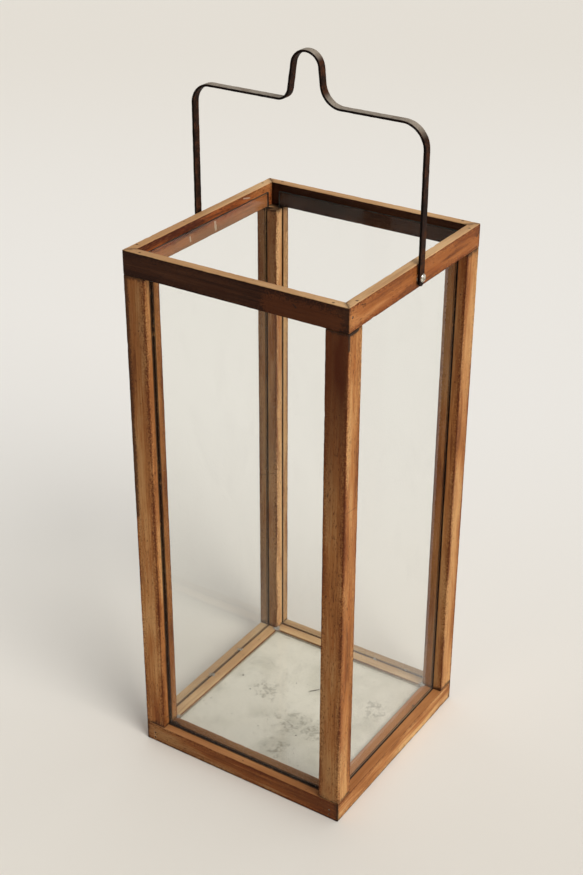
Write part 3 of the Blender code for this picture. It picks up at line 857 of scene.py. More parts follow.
@dataclass(frozen=True)
class Sizes:
    """What the sub-assemblies share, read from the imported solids."""

    half: float                                     # half the outer width
    rim: float
    post: float                                     # section of a post and width of a bottom rail
    post_low: float
    post_high: float
    top_rail: float                                 # thickness
    top_rail_low: float
    base_high: float                                # top of the bottom rails
    groove_near: float                              # pane groove, from the outer face
    groove_far: float
    groove_floor: float
    post_groove: float                              # its bottom, from the inner face of a post

    @classmethod
    def from_frame(cls) -> Sizes:
        """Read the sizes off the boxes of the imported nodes."""
        post_low, post_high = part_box("post_front_left")
        rail_low, rail_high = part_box("top_rail_front")
        _, base_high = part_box("bottom_rail_front")
        pane_low, pane_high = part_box("glass_front")
        half = -post_low.y
        pane_side_play = 1.0 * MM
        post = post_high.x - post_low.x
        return cls(
            half=half, rim=rail_high.z, post=post, post_low=post_low.z, post_high=post_high.z,
            top_rail=rail_high.y - rail_low.y, top_rail_low=rail_low.z, base_high=base_high.z,
            groove_near=pane_low.y + half - GAP, groove_far=pane_high.y + half + GAP,
            groove_floor=pane_low.z - GAP, post_groove=pane_high.x + pane_side_play - (half - post),
        )


# ---- Fasteners ----


@dataclass(frozen=True)
class Shaft:
    """A nail, pin or screw: where its head is and which way it looks, its sizes and what it goes through."""

    node: str
    head: Point
    outward: Point
    length: float
    shank: float
    head_radius: float
    head_height: float
    through: tuple[str, ...]

    @classmethod
    def from_node(cls, node: str, outward: Point, shank: float, head_height: float,
                  through: tuple[str, ...]) -> Shaft:
        """Read a fastener's place, length and head off the box of its plain solid."""
        low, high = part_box(node)
        way = Vector(outward)
        middle, extent = (low + high) / 2, high - low
        length = abs(extent.dot(way))
        across = (sum(extent) - length) / 4
        head = tuple(middle + way * length / 2)
        return cls(node, head, outward, length, shank, across, head_height, through)

    def hole(self, countersunk: bool) -> np.ndarray:
        """Rings of the hole: shank and head with a gap all round, and an open mouth."""
        narrow, wide = self.shank + GAP, self.head_radius + GAP
        under_head = -self.head_height - GAP
        seat = narrow + 0.01 * MM if countersunk else wide
        depth = [-self.length - GAP, under_head, under_head, -GAP, BOOLEAN_OVERSHOOT]
        radius = [narrow, narrow, seat, wide, wide]
        return aimed(turned(np.array(radius), np.array(depth), 20), self.head, self.outward)


def threaded(heights: np.ndarray, core: np.ndarray, crest: np.ndarray, pitch: float,
             segments: int) -> np.ndarray:
    """Rings of a screw: radius = core + crest * (2 |frac(z / pitch - a / 360) - 1/2|) ^ 2.

    Args:
        heights: Z of each ring.
        core: Radius under the thread, by ring.
        crest: How far the thread stands out, by ring.
        pitch: Rise of one turn.
        segments: Points around.

    Returns:
        The rings.
    """
    turn = np.linspace(0, 1, segments, endpoint=False)
    phase = (heights[:, None] / pitch - turn) % 1.0
    radius = core[:, None] + crest[:, None] * (2 * np.abs(phase - 0.5)) ** 2
    return turned(radius, heights, segments)


@dataclass
class NailKit:
    """Nails and pins with flat, slightly dished heads, punched just below the wood."""

    finish: SteelFinish
    shank: float = 0.7 * MM
    head_height: float = 0.8 * MM
    dish: float = 0.12 * MM
    segments: int = 20

    def shafts(self) -> list[Shaft]:
        """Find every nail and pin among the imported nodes."""
        found = []
        for corner in Corner:
            _, sign_x, sign_y = corner.value
            top = tuple(f"top_rail_{side}" for side in corner.sides)
            base = tuple(f"bottom_rail_{side}" for side in corner.sides)
            for side, rail in zip(corner.sides, top):
                node = f"rim_nail_{side}_{corner.label}"
                found.append(self.shaft(node, (0, 0, 1), (rail, f"post_{corner.label}")))
            found.append(self.shaft(f"rim_pin_{corner.label}", (sign_x, 0, 0), top))
            for level in ("low", "high"):
                found.append(self.shaft(f"base_pin_{corner.label}_{level}", (0, sign_y, 0), base))
        return found

    def shaft(self, node: str, outward: Point, through: tuple[str, ...]) -> Shaft:
        """One nail of this kit."""
        return Shaft.from_node(node, outward, self.shank, self.head_height, through)

    def build(self, shafts: list[Shaft]) -> None:
        """Make each nail: a four-sided point, a round shank with grip rings and a dished head."""
        material = self.finish.material()
        for shaft in shafts:
            rng = np.random.default_rng(sum(shaft.node.encode()))
            length, shank, head = shaft.length, shaft.shank, shaft.head_radius
            grip = -self.head_height - np.linspace(1.5, 6.5, 11) * MM
            grip_radius = shank * (1 - 0.09 * (np.arange(11) % 2))
            fall = np.linspace(0, 1, 5)
            rim = head * (1 + 0.03 * np.cos(np.pi / 2 * fall))
            heights = np.concatenate([
                [-length, -length + 0.5 * MM, -length + 3 * MM], grip[::-1],
                [-self.head_height, -self.head_height], -self.head_height * (1 - fall) * 0.9 - 0.08 * MM,
                [-0.02 * MM, -self.dish * 0.6, -self.dish],
            ])
            radius = np.concatenate([
                [0.02 * MM, shank * 0.35, shank], grip_radius[::-1],
                [shank, head * 0.96], rim, [head * 0.9, head * 0.55, head * 0.12],
            ])
            spread = radius[:, None] * (1 + 0.02 * ripple(rng, np.linspace(0, 1, self.segments), (1.0, 0.5)))
            rings = aimed(turned(spread, heights, self.segments), shaft.head, shaft.outward)
            dress(shaft.node, "forged", rings, material)


@dataclass
class PostScrewKit:
    """Countersunk slotted screws driven up from below into the posts."""

    finish: SteelFinish
    shank: float = 1.9 * MM
    head_height: float = 2.6 * MM
    core: float = 1.35 * MM
    pitch: float = 2.2 * MM
    slot_width: float = 1.0 * MM
    slot_depth: float = 1.1 * MM
    first_turn: float = 35.0                        # degrees of the first screw's slot
    next_turn: float = 47.0                         # degrees more for each one after it
    segments: int = 24

    def shafts(self) -> list[Shaft]:
        """Find the two screws under each post."""
        found = []
        for corner in Corner:
            for side in corner.sides:
                node = f"post_screw_{side}_{corner.label}"
                through = (f"bottom_rail_{side}", f"post_{corner.label}")
                found.append(Shaft.from_node(node, (0, 0, -1), self.shank, self.head_height, through))
        return found

    def build(self, shafts: list[Shaft]) -> None:
        """Make each screw: tapered tip, helical thread, plain shank, cone and flat slotted head."""
        material = self.finish.material()
        for number, shaft in enumerate(shafts):
            plain = -shaft.length * 0.38
            thread = np.arange(-shaft.length, plain, self.pitch / 6)
            taper = np.clip((thread + shaft.length) / (5 * MM), 0.03, 1)
            fade = np.clip((plain - thread) / (2 * MM), 0, 1)
            swelling = (self.shank * 0.98 - self.core) * (1 - fade)
            core = np.where(fade < 1, self.core + swelling, self.core) * taper
            crest = (self.shank * 1.06 - self.core) * fade * taper
            reach = shaft.head_radius
            top_heights = [plain, -self.head_height, -0.35 * MM, -0.05 * MM, 0.0, 0.0]
            top_core = [self.shank * 0.98, self.shank, reach, reach, reach * 0.96, reach * 0.1]
            heights = np.concatenate([thread, top_heights])
            core = np.concatenate([core, top_core])
            crest = np.concatenate([crest, np.zeros(len(top_core))])
            screw = threaded(heights, core, crest, self.pitch, self.segments)
            turn = math.radians(self.first_turn + self.next_turn * number)
            slot = slot_rings(reach, self.slot_width, self.slot_depth, turn)
            rings, cut = (aimed(points, shaft.head, shaft.outward) for points in (screw, slot))
            dress(shaft.node, "turned", rings, material, [cut])


def slot_rings(reach: float, width: float, depth: float, turn: float) -> np.ndarray:
    """Rings of a straight slot across a head whose top is at z = 0: a bar turned about Z."""
    outline = rectangle((-2 * reach, -width / 2), (2 * reach, width / 2))
    cos, sin = math.cos(turn), math.sin(turn)
    spun = outline @ np.array([[cos, sin], [-sin, cos]])
    levels = np.array([-depth, reach])
    return np.stack([np.column_stack([spun, np.full(4, level)]) for level in levels])


# ---- Wooden frame ----


@dataclass
class WoodShop:
    """How every length of wood is worn: arrises that wander, chips, and values for the finish."""

    arris: float = 1.0 * MM
    groove_corner: float = 0.25 * MM
    end_bevel: float = 0.25 * MM
    spacing: float = 3.0 * MM
    wander: float = 0.42                            # share of the arris radius
    chips: int = 7
    chip_depth: float = 1.1 * MM
    chip_length: float = 2.6 * MM
    joint_reach: float = 9 * MM
    edge_reach: float = 4.2 * MM                    # how far the red-brown runs in from an arris
    lip_reach: float = 1.7 * MM                     # how far the soil and painted shade spill out of a groove

    def wear(self, outline: Outline, along: np.ndarray, rng: np.random.Generator) -> np.ndarray:
        """Factor on each corner's radius at each station: a slow wander plus a few Gaussian chips.

        Args:
            outline: The section, whose small-radius corners stay crisp.
            along: The stations.
            rng: Seeded numbers for this length of wood.

        Returns:
            Factors by station and corner.
        """
        worn = outline.radii > WORN_FROM
        growth = np.ones((len(along), len(outline.radii)))
        for i in np.flatnonzero(worn):
            growth[:, i] += self.wander * ripple(rng, along, (0.21, 0.083, 0.031, 0.013))
        for _ in range(self.chips):
            i = rng.choice(np.flatnonzero(worn))
            at = rng.uniform(along[0], along[-1])
            width = self.chip_length * rng.uniform(0.5, 1.5)
            dent = np.exp(-((along - at) / width) ** 2)
            growth[:, i] += rng.uniform(0.3, 1.0) * self.chip_depth / self.arris * dent
        fade = np.clip(np.minimum(along, along[-1] - along) / (4 * MM), 0, 1)[:, None]
        return 1 + (growth - 1) * (0.4 + 0.6 * fade)

    def values(self, outline: Outline, section: np.ndarray, from_end: np.ndarray) -> dict[str, np.ndarray]:
        """Numbers for the finish at every point: arris, edge, recess and joint, each 0 to 1."""
        inside = np.clip((outline.depth(section) - 0.5 * MM) / (2 * MM), 0, 1)
        spread = {
            "arris": outline.nearness(True, THIN_EDGE),
            "edge": outline.nearness(True, self.edge_reach),
            "recess": np.maximum(inside, outline.nearness(False, self.lip_reach)),
            "joint": np.exp(-from_end / self.joint_reach),
        }
        return {key: np.broadcast_to(numbers, section.shape[:2]).ravel() for key, numbers in spread.items()}


@dataclass
class Posts:
    """Four square posts, each with two pane grooves."""

    sizes: Sizes
    shop: WoodShop
    finishes: dict[Corner, WoodFinish]

    def section(self) -> Outline:
        """The section of a post from its outer corner; the grooves open to the two inner sides."""
        size, near, far = self.sizes.post, self.sizes.groove_near, self.sizes.groove_far
        bottom = size - self.sizes.post_groove
        corners = [
            (0, size), (0, 0), (size, 0),
            (size, near), (bottom, near), (bottom, far), (size, far),
            (size, size),
            (far, size), (far, bottom), (near, bottom), (near, size),
        ]
        radii = np.full(len(corners), self.shop.groove_corner)
        radii[[0, 1, 2, 7]] = self.shop.arris
        return Outline(np.array(corners), radii, self.shop.spacing)

    def build(self, shafts: list[Shaft]) -> None:
        """Carry the section up each post, drill it and dress it."""
        sizes = self.sizes
        for seed, corner in enumerate(Corner):
            outline = self.section()
            along, inset = stations(sizes.post_high - sizes.post_low, self.shop.spacing, self.shop.end_bevel)
            growth = self.shop.wear(outline, along, np.random.default_rng(100 + seed))
            section = outline.rings(growth, inset)
            rings = corner.place(section, (sizes.post_low + along)[:, None], sizes.half)
            from_end = np.minimum(along, along[-1] - along)[:, None]
            values = self.shop.values(outline, section, from_end)
            node = f"post_{corner.label}"
            finish, holes = self.finishes[corner].material(), holes_in(node, shafts)
            dress(node, "worn", rings, finish, holes, values)


def holes_in(node: str, shafts: list[Shaft]) -> list[np.ndarray]:
    """Rings of every fastener's hole in a piece."""
    return [shaft.hole(shaft.outward == (0, 0, -1)) for shaft in shafts if node in shaft.through]


@dataclass
class Rails:
    """Four mitred rails of one level: thin ones on edge at the top, or wide grooved ones at the bottom."""

    level: str
    sizes: Sizes
    shop: WoodShop
    finishes: dict[Side, WoodFinish]
    seed: int
    board: tuple[float, float] | None = None        # heights of the floor board's groove
    board_depth: float = 5.0 * MM

    def section(self) -> Outline:
        """The rail's section: inward from the outer face, and up."""
        sizes = self.sizes
        if self.board is None:
            corners = rectangle((0, sizes.top_rail_low), (sizes.top_rail, sizes.rim))
            return Outline(corners, np.full(4, self.shop.arris), self.shop.spacing)
        low, high = self.board
        wide, top, back = sizes.post, sizes.base_high, sizes.post - self.board_depth
        corners = [
            (0, 0), (wide, 0),
            (wide, low), (back, low), (back, high), (wide, high),
            (wide, top),
            (sizes.groove_far, top), (sizes.groove_far, sizes.groove_floor),
            (sizes.groove_near, sizes.groove_floor), (sizes.groove_near, top),
            (0, top),
        ]
        radii = np.full(len(corners), self.shop.groove_corner)
        radii[[0, 1, 6, 11]] = self.shop.arris
        return Outline(np.array(corners), radii, self.shop.spacing)

    def build(self, shafts: list[Shaft], bores: dict[str, list[np.ndarray]]) -> None:
        """Carry the section between the mitres, where x = share * (half - inward - gap), and drill it.

        Args:
            shafts: Fasteners that may go through the rails.
            bores: More holes by node, such as those of the bail's screws.
        """
        sizes = self.sizes
        for side in Side:
            outline = self.section()
            along, inset = stations(2 * sizes.half, self.shop.spacing, self.shop.end_bevel)
            growth = self.shop.wear(outline, along, np.random.default_rng(self.seed + side.value))
            section = outline.rings(growth, inset)
            share = (2 * along / along[-1] - 1)[:, None]
            inward, up = section[..., 0], section[..., 1]
            reach = sizes.half - inward - GAP / math.sqrt(2)
            rings = side.place(share * reach, inward, up, sizes.half)
            values = self.shop.values(outline, section, (1 - np.abs(share)) * reach)
            node = f"{self.level}_rail_{side.label}"
            holes = holes_in(node, shafts) + bores.get(node, [])
            dress(node, "worn", rings, self.finishes[side].material(), holes, values)


# ---- Glass and floor ----


def slab(low: Vector, high: Vector, axis: int, corner: float, ease: float,
         spacing: float = 12 * MM) -> np.ndarray:
    """Rings of a flat plate between two corners, thin along axis, with rounded corners and eased arrises.

    Args:
        low: Lowest corner.
        high: Highest corner.
        axis: The thin direction, 0 for X, 1 for Y or 2 for Z.
        corner: Radius of the four corners.
        ease: Size of the bevel along the arrises.
        spacing: Distance between the points along its edges.

    Returns:
        The rings, from the low face to the high one.
    """
    first, second = [i for i in range(3) if i != axis]
    corners = rectangle((low[first], low[second]), (high[first], high[second]))
    outline = Outline(corners, np.full(4, corner), spacing)
    thick = high[axis] - low[axis]
    along = np.array([0.0, ease, thick - ease, thick])
    inset = np.array([ease, 0.0, 0.0, ease])
    section = outline.rings(np.ones((4, 4)), inset)
    rings = np.empty((*section.shape[:2], 3))
    rings[..., first], rings[..., second] = section[..., 0], section[..., 1]
    rings[..., axis] = (low[axis] + along)[:, None]
    return rings


@dataclass
class Panes:
    """Four sliding side panes with swiped edges."""

    finish: PaneFinish
    corner: float = 0.8 * MM
    ease: float = 0.25 * MM

    def build(self) -> None:
        """Make each pane in the box of its plain solid, with its cut edges in their own finish."""
        glass, edge = self.finish.material(), self.finish.edge_material()
        for side in Side:
            low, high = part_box(f"glass_{side.label}")
            axis = 1 if side in (Side.FRONT, Side.BACK) else 0
            node = f"glass_{side.label}"
            piece = glazed(f"{node}_clear", low, high, axis, self.corner, self.ease, (glass, edge))
            settle(piece, f"pane_{side.label}", node)


def glazed(name: str, low: Vector, high: Vector, axis: int, corner: float, ease: float,
           finishes: tuple[bpy.types.Material, bpy.types.Material]) -> bpy.types.Object:
    """A glass plate whose two big faces have the first finish and whose cut edges have the second.

    Args:
        name: The piece's name.
        low: Lowest corner.
        high: Highest corner.
        axis: The thin direction.
        corner: Radius of the four corners.
        ease: Bevel along the arrises.
        finishes: Face and edge materials.

    Returns:
        The object.
    """
    piece = make_piece(name, [slab(low, high, axis, corner, ease)], finishes[0])
    piece.data.materials.append(finishes[1])
    normals = np.zeros(len(piece.data.polygons) * 3)
    piece.data.polygons.foreach_get("normal", normals)
    edge_on = np.abs(normals.reshape(-1, 3)[:, axis]) < 0.9
    piece.data.polygons.foreach_set("material_index", edge_on.astype(np.int32))
    return piece


@dataclass
class Floor:
    """The loose floor pane and the painted board under it."""

    glass: PaneFinish
    edge: DebrisFinish                              # dust that has packed against the glass
    paint: PaintFinish
    glass_corner: float = 1.5 * MM
    board_corner: float = 2.0 * MM
    ease: float = 0.4 * MM

    def build(self) -> None:
        """Make both plates in the boxes of their plain solids."""
        low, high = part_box("floor_glass")
        finishes = (self.glass.material(), self.edge.material())
        settle(glazed("floor_glass_clear", low, high, 2, self.glass_corner, self.ease, finishes),
               "frame", "floor_glass")
        low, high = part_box("floor_board")
        rings = slab(low, high, 2, self.board_corner, self.ease)
        dress("floor_board", "painted", rings, self.paint.material())


# ---- Bail ----


def fillet(before: complex, corner: complex, after: complex, radius: float, steps: int) -> np.ndarray:
    """Arc that rounds a corner of a route, as complex x + iz.

    The centre is on the bisector at radius / sin(half angle), and the arc runs between the two tangent
    points, each radius / tan(half angle) from the corner.

    Args:
        before: Point that the route comes from.
        corner: The corner.
        after: Point that the route goes to.
        radius: Radius of the arc.
        steps: Segments of the arc.

    Returns:
        Points of the arc.
    """
    back, ahead = (before - corner) / abs(before - corner), (after - corner) / abs(after - corner)
    half_angle = abs(np.angle(ahead / back)) / 2
    setback = radius / math.tan(half_angle)
    centre = corner + (back + ahead) / abs(back + ahead) * radius / math.sin(half_angle)
    start, end = corner + back * setback - centre, corner + ahead * setback - centre
    return centre + start * np.exp(1j * np.angle(end / start) * np.linspace(0, 1, steps + 1))


def touch(foot: complex, centre: complex, radius: float, side: int) -> complex:
    """Where the straight line from a foot touches a circle, on its left (-1) or right (1) side."""
    reach = foot - centre
    return centre + reach / abs(reach) * radius * np.exp(1j * side * math.acos(radius / abs(reach)))


@dataclass
class Bail:
    """Flat iron bar bent on its side, with a hump for a hook and rounded feet on the two screws."""

    finish: IronFinish
    width: float = 10.0 * MM
    thickness: float = 2.8 * MM
    edge: float = 0.55 * MM
    bend_left: float = 22.1 * MM
    bend_right: float = 26.6 * MM
    hump_rise: float = 54.1 * MM
    hump_radius: float = 17.1 * MM
    hump_shift: float = 1.3 * MM
    hump_foot_left: float = 21.1 * MM
    hump_foot_right: float = 22.4 * MM
    fillet_left: float = 13.4 * MM
    fillet_right: float = 24.6 * MM
    spacing: float = 1.6 * MM
    hammered: float = 0.10 * MM

    def route(self) -> np.ndarray:
        """Centre line as complex x + iz: feet, shoulders, crossbar and the hump's circle and tangents."""
        low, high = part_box("bail_handle")
        side = high.x - self.thickness / 2
        bar = high.z - self.thickness / 2 - self.hump_rise
        top = complex(self.hump_shift, bar + self.hump_rise - self.hump_radius)
        left, right = complex(-self.hump_foot_left, bar), complex(self.hump_foot_right, bar)
        left_touch = touch(left, top, self.hump_radius, -1)
        right_touch = touch(right, top, self.hump_radius, 1)
        left_end, right_end = complex(-side, low.z), complex(side, low.z)
        left_bend, right_bend = complex(-side, bar), complex(side, bar)
        start, end = left_touch - top, right_touch - top
        sweep = np.angle(end / start)
        sweep -= 2 * np.pi if sweep > 0 else 0
        crown = top + start * np.exp(1j * sweep * np.linspace(0, 1, 60))
        return np.concatenate([
            [left_end],
            fillet(left_end, left_bend, left, self.bend_left, 30),
            fillet(left_bend, left, left_touch, self.fillet_left, 24),
            crown,
            fillet(right_touch, right, right_bend, self.fillet_right, 24),
            fillet(right, right_bend, right_end, self.bend_right, 30),
            [right_end],
        ])

    def build(self, pivot_bores: list[np.ndarray]) -> None:
        """Carry a bar section along the route, narrow it to a half circle at each foot and drill the feet."""
        route = self.route()
        travelled = np.concatenate([[0], np.cumsum(np.abs(np.diff(route)))])
        total = travelled[-1]
        half = self.width / 2
        foot = half * (1 - np.cos(np.radians([8, 20, 32, 44, 56, 68, 79, 90])))
        inner = np.linspace(half, total - half, round(total / self.spacing))[1:-1]
        along = np.concatenate([foot, inner, total - foot[::-1]])
        centre = np.interp(along, travelled, route.real) + 1j * np.interp(along, travelled, route.imag)
        forward = np.gradient(centre, along)
        normal = 1j * forward / np.abs(forward)
        outline = Outline(rectangle((-self.thickness / 2, -half), (self.thickness / 2, half)),
                          np.full(4, self.edge), 2.0 * MM, 4, 0.4 * MM)
        rng = np.random.default_rng(7)
        growth = 1 + 0.35 * np.stack([ripple(rng, along, (0.05, 0.021, 0.009)) for _ in range(4)], axis=1)
        section = outline.rings(growth, np.zeros(len(along)))
        from_end = np.minimum(along, total - along)
        narrow = np.sqrt(1 - np.clip(1 - from_end / half, 0, 1) ** 2)
        dents = self.hammered * ripple(rng, along, (0.037, 0.017, 0.011))
        calm = np.clip((from_end - 2.2 * self.width) / self.width, 0, 1)
        across = section[..., 0] + (dents * calm)[:, None] * np.sign(section[..., 0])
        swell = 1 + 0.018 * calm * ripple(rng, along, (0.06, 0.023))
        wide = section[..., 1] * (narrow * swell)[:, None]
        spot = centre[:, None] + across * normal[:, None]
        rings = np.stack([spot.real, wide, spot.imag], axis=-1)
        arris = np.broadcast_to(outline.nearness(True, THIN_EDGE), section.shape[:2]).ravel()
        finish = self.finish.material()
        dress("bail_handle", "forged", rings, finish, pivot_bores, {"arris": arris}, "bail")


@dataclass
class Pivots:
    """Round-head slotted screws and washers that carry the bail's feet."""

    finish: SteelFinish
    shank: float = 2.25 * MM
    core: float = 1.65 * MM
    bore: float = 2.55 * MM
    pitch: float = 1.9 * MM
    head_height: float = 2.9 * MM
    slot_width: float = 1.5 * MM
    slot_depth: float = 1.6 * MM
    slot_turn: float = 35.0                         # degrees
    smooth_part: float = 3.5 * MM                   # of the shank, under the head
    washer_edge: float = 0.18 * MM
    segments: int = 40

    def bores(self) -> dict[str, np.ndarray]:
        """Rings of the hole of each screw, by side: a plain cylinder from its tip out past its head."""
        found = {}
        for label, sign in SIGNS.items():
            low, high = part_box(f"pivot_screw_{label}")
            levels = np.array([low.x - high.x - GAP, BOOLEAN_OVERSHOOT])
            hole = turned(np.full(2, self.bore), levels, self.segments)
            found[label] = aimed(hole, self.outer_end(low, high, sign), (sign, 0, 0))
        return found

    @staticmethod
    def outer_end(low: Vector, high: Vector, sign: int) -> Point:
        """Middle of the face of a box that looks away from the lantern."""
        middle = (low + high) / 2
        return sign * max(abs(low.x), abs(high.x)), middle.y, middle.z

    def build(self) -> None:
        """Make the two screws and the two washers in the boxes of their plain solids."""
        material = self.finish.material()
        for label, sign in SIGNS.items():
            self.build_screw(label, sign, material)
            self.build_washer(label, sign, material)

    def build_screw(self, label: str, sign: int, material: bpy.types.Material) -> None:
        """A domed head, radius R cos f and height H (0.2 + 0.8 sin f), over a threaded shank."""
        low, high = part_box(f"pivot_screw_{label}")
        length, reach = high.x - low.x, (high.y - low.y) / 2
        seat = -self.head_height
        smooth = seat - self.smooth_part
        thread = np.arange(-length, smooth, self.pitch / 8)
        taper = np.clip((thread + length) / (3.5 * MM), 0.03, 1)
        fade = np.clip((smooth - thread) / (1.5 * MM), 0, 1)
        swelling = self.shank - self.core
        dome = np.radians(np.array([0, 8, 18, 30, 42, 54, 66, 78, 87]))
        dome_heights = seat + self.head_height * (0.2 + 0.8 * np.sin(dome))
        heights = np.concatenate([thread, [smooth, seat - 0.01 * MM, seat], dome_heights])
        thread_core = (self.core + swelling * (1 - fade)) * taper
        core = np.concatenate([thread_core, [self.shank, self.shank, reach * 0.97], reach * np.cos(dome)])
        crest = np.concatenate([swelling * 1.1 * fade * taper, np.zeros(3 + len(dome))])
        screw = threaded(heights, core, crest, self.pitch, self.segments)
        slot = slot_rings(reach, self.slot_width, self.slot_depth, math.radians(self.slot_turn))
        head = self.outer_end(low, high, sign)
        rings, cut = (aimed(points, head, (sign, 0, 0)) for points in (screw, slot))
        dress(f"pivot_screw_{label}", "turned", rings, material, [cut])

    def build_washer(self, label: str, sign: int, material: bpy.types.Material) -> None:
        """A disc with rounded edges and a hole."""
        low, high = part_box(f"strap_washer_{label}")
        middle, thick = (low + high) / 2, high.x - low.x
        reach, ease = (high.y - low.y) / 2, self.washer_edge
        heights = np.array([0, 0, ease * 0.3, ease, thick - ease, thick - ease * 0.3, thick, thick])
        radius = reach - np.array([reach * 0.9, ease, ease * 0.3, 0, 0, ease * 0.3, ease, reach * 0.9])
        start = (sign * min(abs(low.x), abs(high.x)), middle.y, middle.z)
        rings = aimed(turned(radius, heights, self.segments), start, (sign, 0, 0))
        hole = self.bores()[label]
        dress(f"strap_washer_{label}", "pressed", rings, material, [hole])


# ---- What has gathered inside ----


@dataclass
class Debris:
    """Crumbs on the floor pane and the ledges, lint in the corners and a charred sliver of wick."""

    sizes: Sizes
    crumb_finish: DebrisFinish
    lint_finish: DebrisFinish
    crumbs: int = 46
    groove_crumbs: int = 34
    crumb_size: float = 0.55 * MM
    strand: float = 0.18 * MM
    strands: int = 24
    lint_reach: float = 6 * MM
    floor_lumps: tuple[Point, ...] = (              # x and y in millimetres, and the size as a factor
        (-93.5, 4.2, 2.0), (-69.9, -14.8, 1.5), (-101.2, -57.4, 1.5), (30.0, -60.0, 1.7),
        (-20.0, -70.0, 1.3),
    )
    ledge_lumps: tuple[Point, ...] = (
        (-117.3, 38.0, 1.3), (-118.4, 77.6, 1.4), (-123.2, -37.9, 1.2), (3.6, -136.8, 1.2),
        (124.4, 68.1, 2.6),
    )

    def build(self) -> None:
        """Make the three kinds."""
        self.build_crumbs()
        self.build_lint()
        self.build_sliver()

    def build_crumbs(self) -> None:
        """Each crumb is a flattened ball whose radius wanders with its two angles."""
        rng = np.random.default_rng(21)
        _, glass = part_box("floor_glass")
        inner = self.sizes.half - self.sizes.post - 4 * MM
        groove = (self.sizes.groove_near + self.sizes.groove_far) / 2 - self.sizes.half
        floor_lumps, ledge_lumps = np.array(self.floor_lumps), np.array(self.ledge_lumps)
        scattered = rng.uniform(-inner, inner, (self.crumbs, 2))
        scattered_sizes = rng.uniform(0.35, 1.1, self.crumbs)
        row_x = groove + rng.normal(0, 1.6 * MM, self.groove_crumbs)
        row = np.column_stack([row_x, rng.uniform(-0.105, 0.105, self.groove_crumbs)])
        row_sizes = rng.uniform(0.6, 1.6, self.groove_crumbs)
        spots = np.concatenate([floor_lumps[:, :2] * MM, scattered, ledge_lumps[:, :2] * MM, row])
        factors = np.concatenate([floor_lumps[:, 2], scattered_sizes, ledge_lumps[:, 2], row_sizes])
        sizes = self.crumb_size * factors
        on_floor = len(floor_lumps) + self.crumbs
        levels = np.repeat([glass.z, self.sizes.base_high], [on_floor, len(spots) - on_floor])
        tilt = np.radians(np.linspace(-80, 80, 6))
        around = np.linspace(0, 1, 9, endpoint=False)
        bodies = []
        for spot, size, level in zip(spots, sizes, levels):
            lump = np.stack([ripple(rng, around + turn, (1.0, 0.5)) for turn in tilt])
            rings = turned(size * np.cos(tilt)[:, None] * (1 + 0.35 * lump), size * 0.55 * np.sin(tilt), 9)
            bodies.append(rings + np.array([*spot, level + size * 0.5]))
        settle(make_piece("floor_crumbs", bodies, self.crumb_finish.material()), "frame")

    def build_lint(self) -> None:
        """Strands about the inner corners and grooves: thin tubes along curves of wandering heading."""
        rng = np.random.default_rng(33)
        inner = self.sizes.half - self.sizes.post
        level = self.sizes.base_high + 0.3 * MM
        groove = self.sizes.half - self.sizes.groove_far
        nests = [(-inner, -inner, 1.0), (inner, inner, 1.3), (-inner, inner, 1.8),
                 (-groove, -0.020, 0.7), (-groove, 0.045, 0.6), (0.035, groove, 0.3), (0.080, groove, 0.3)]
        bodies = []
        for x, y, amount in nests:
            for _ in range(round(self.strands * amount)):
                step = np.linspace(0, 1, 12)
                heading = rng.uniform(0, 2 * np.pi) + 2.2 * ripple(rng, step, (1.3, 0.7))
                size = self.lint_reach * rng.uniform(0.5, 1.2) * amount ** 0.5 / len(step)
                lift = np.abs(ripple(rng, step, (1.1, 0.6))) * self.lint_reach * 0.35
                flat = np.cumsum([np.cos(heading), np.sin(heading)], axis=1) * size
                path = np.column_stack([*flat, lift])
                astray = np.append(rng.normal(0, 1.8 * MM, 2), 0.0)
                path += np.array([x, y, level]) + astray - path[6] * [1, 1, 0]
                bodies.append(tube(path, np.full(len(path), self.strand), 5))
        settle(make_piece("corner_lint", bodies, self.lint_finish.material()), "frame")

    def build_sliver(self) -> None:
        """A charred end of wick that lies on the floor pane."""
        _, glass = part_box("floor_glass")
        share = np.linspace(0, 1, 24)
        rng = np.random.default_rng(5)
        x, y = (-3.3 + 9.5 * share) * MM, (21.5 + 12.5 * share) * MM + 0.4 * MM * np.sin(5 * share)
        path = np.column_stack([x, y, np.full(len(share), glass.z + 0.5 * MM)])
        ends = np.clip(6 * share * (1.05 - share), 0.2, 1)
        radius = 0.45 * MM * (1 + 0.3 * ripple(rng, share, (0.4, 0.17))) * ends
        piece = make_piece("wick_sliver", [tube(path, radius, 8)], self.crumb_finish.material())
        settle(piece, "frame")


def tube(path: np.ndarray, radius: np.ndarray, sides: int) -> np.ndarray:
    """Rings of a round tube: at each point of the path, radius times the circle across its tangent.

    Args:
        path: Points that the tube follows.
        radius: Radius at each point.
        sides: Points around.

    Returns:
        The rings.
    """
    tangent = unit(np.gradient(path, axis=0))
    first = unit(np.cross(tangent, (0.31, 0.17, 0.94)))
    second = np.cross(tangent, first)
    angle = np.linspace(0, 2 * np.pi, sides, endpoint=False)
    circle = np.cos(angle)[:, None] * first[:, None] + np.sin(angle)[:, None] * second[:, None]
    return path[:, None] + radius[:, None, None] * circle


# ---- Studio ----


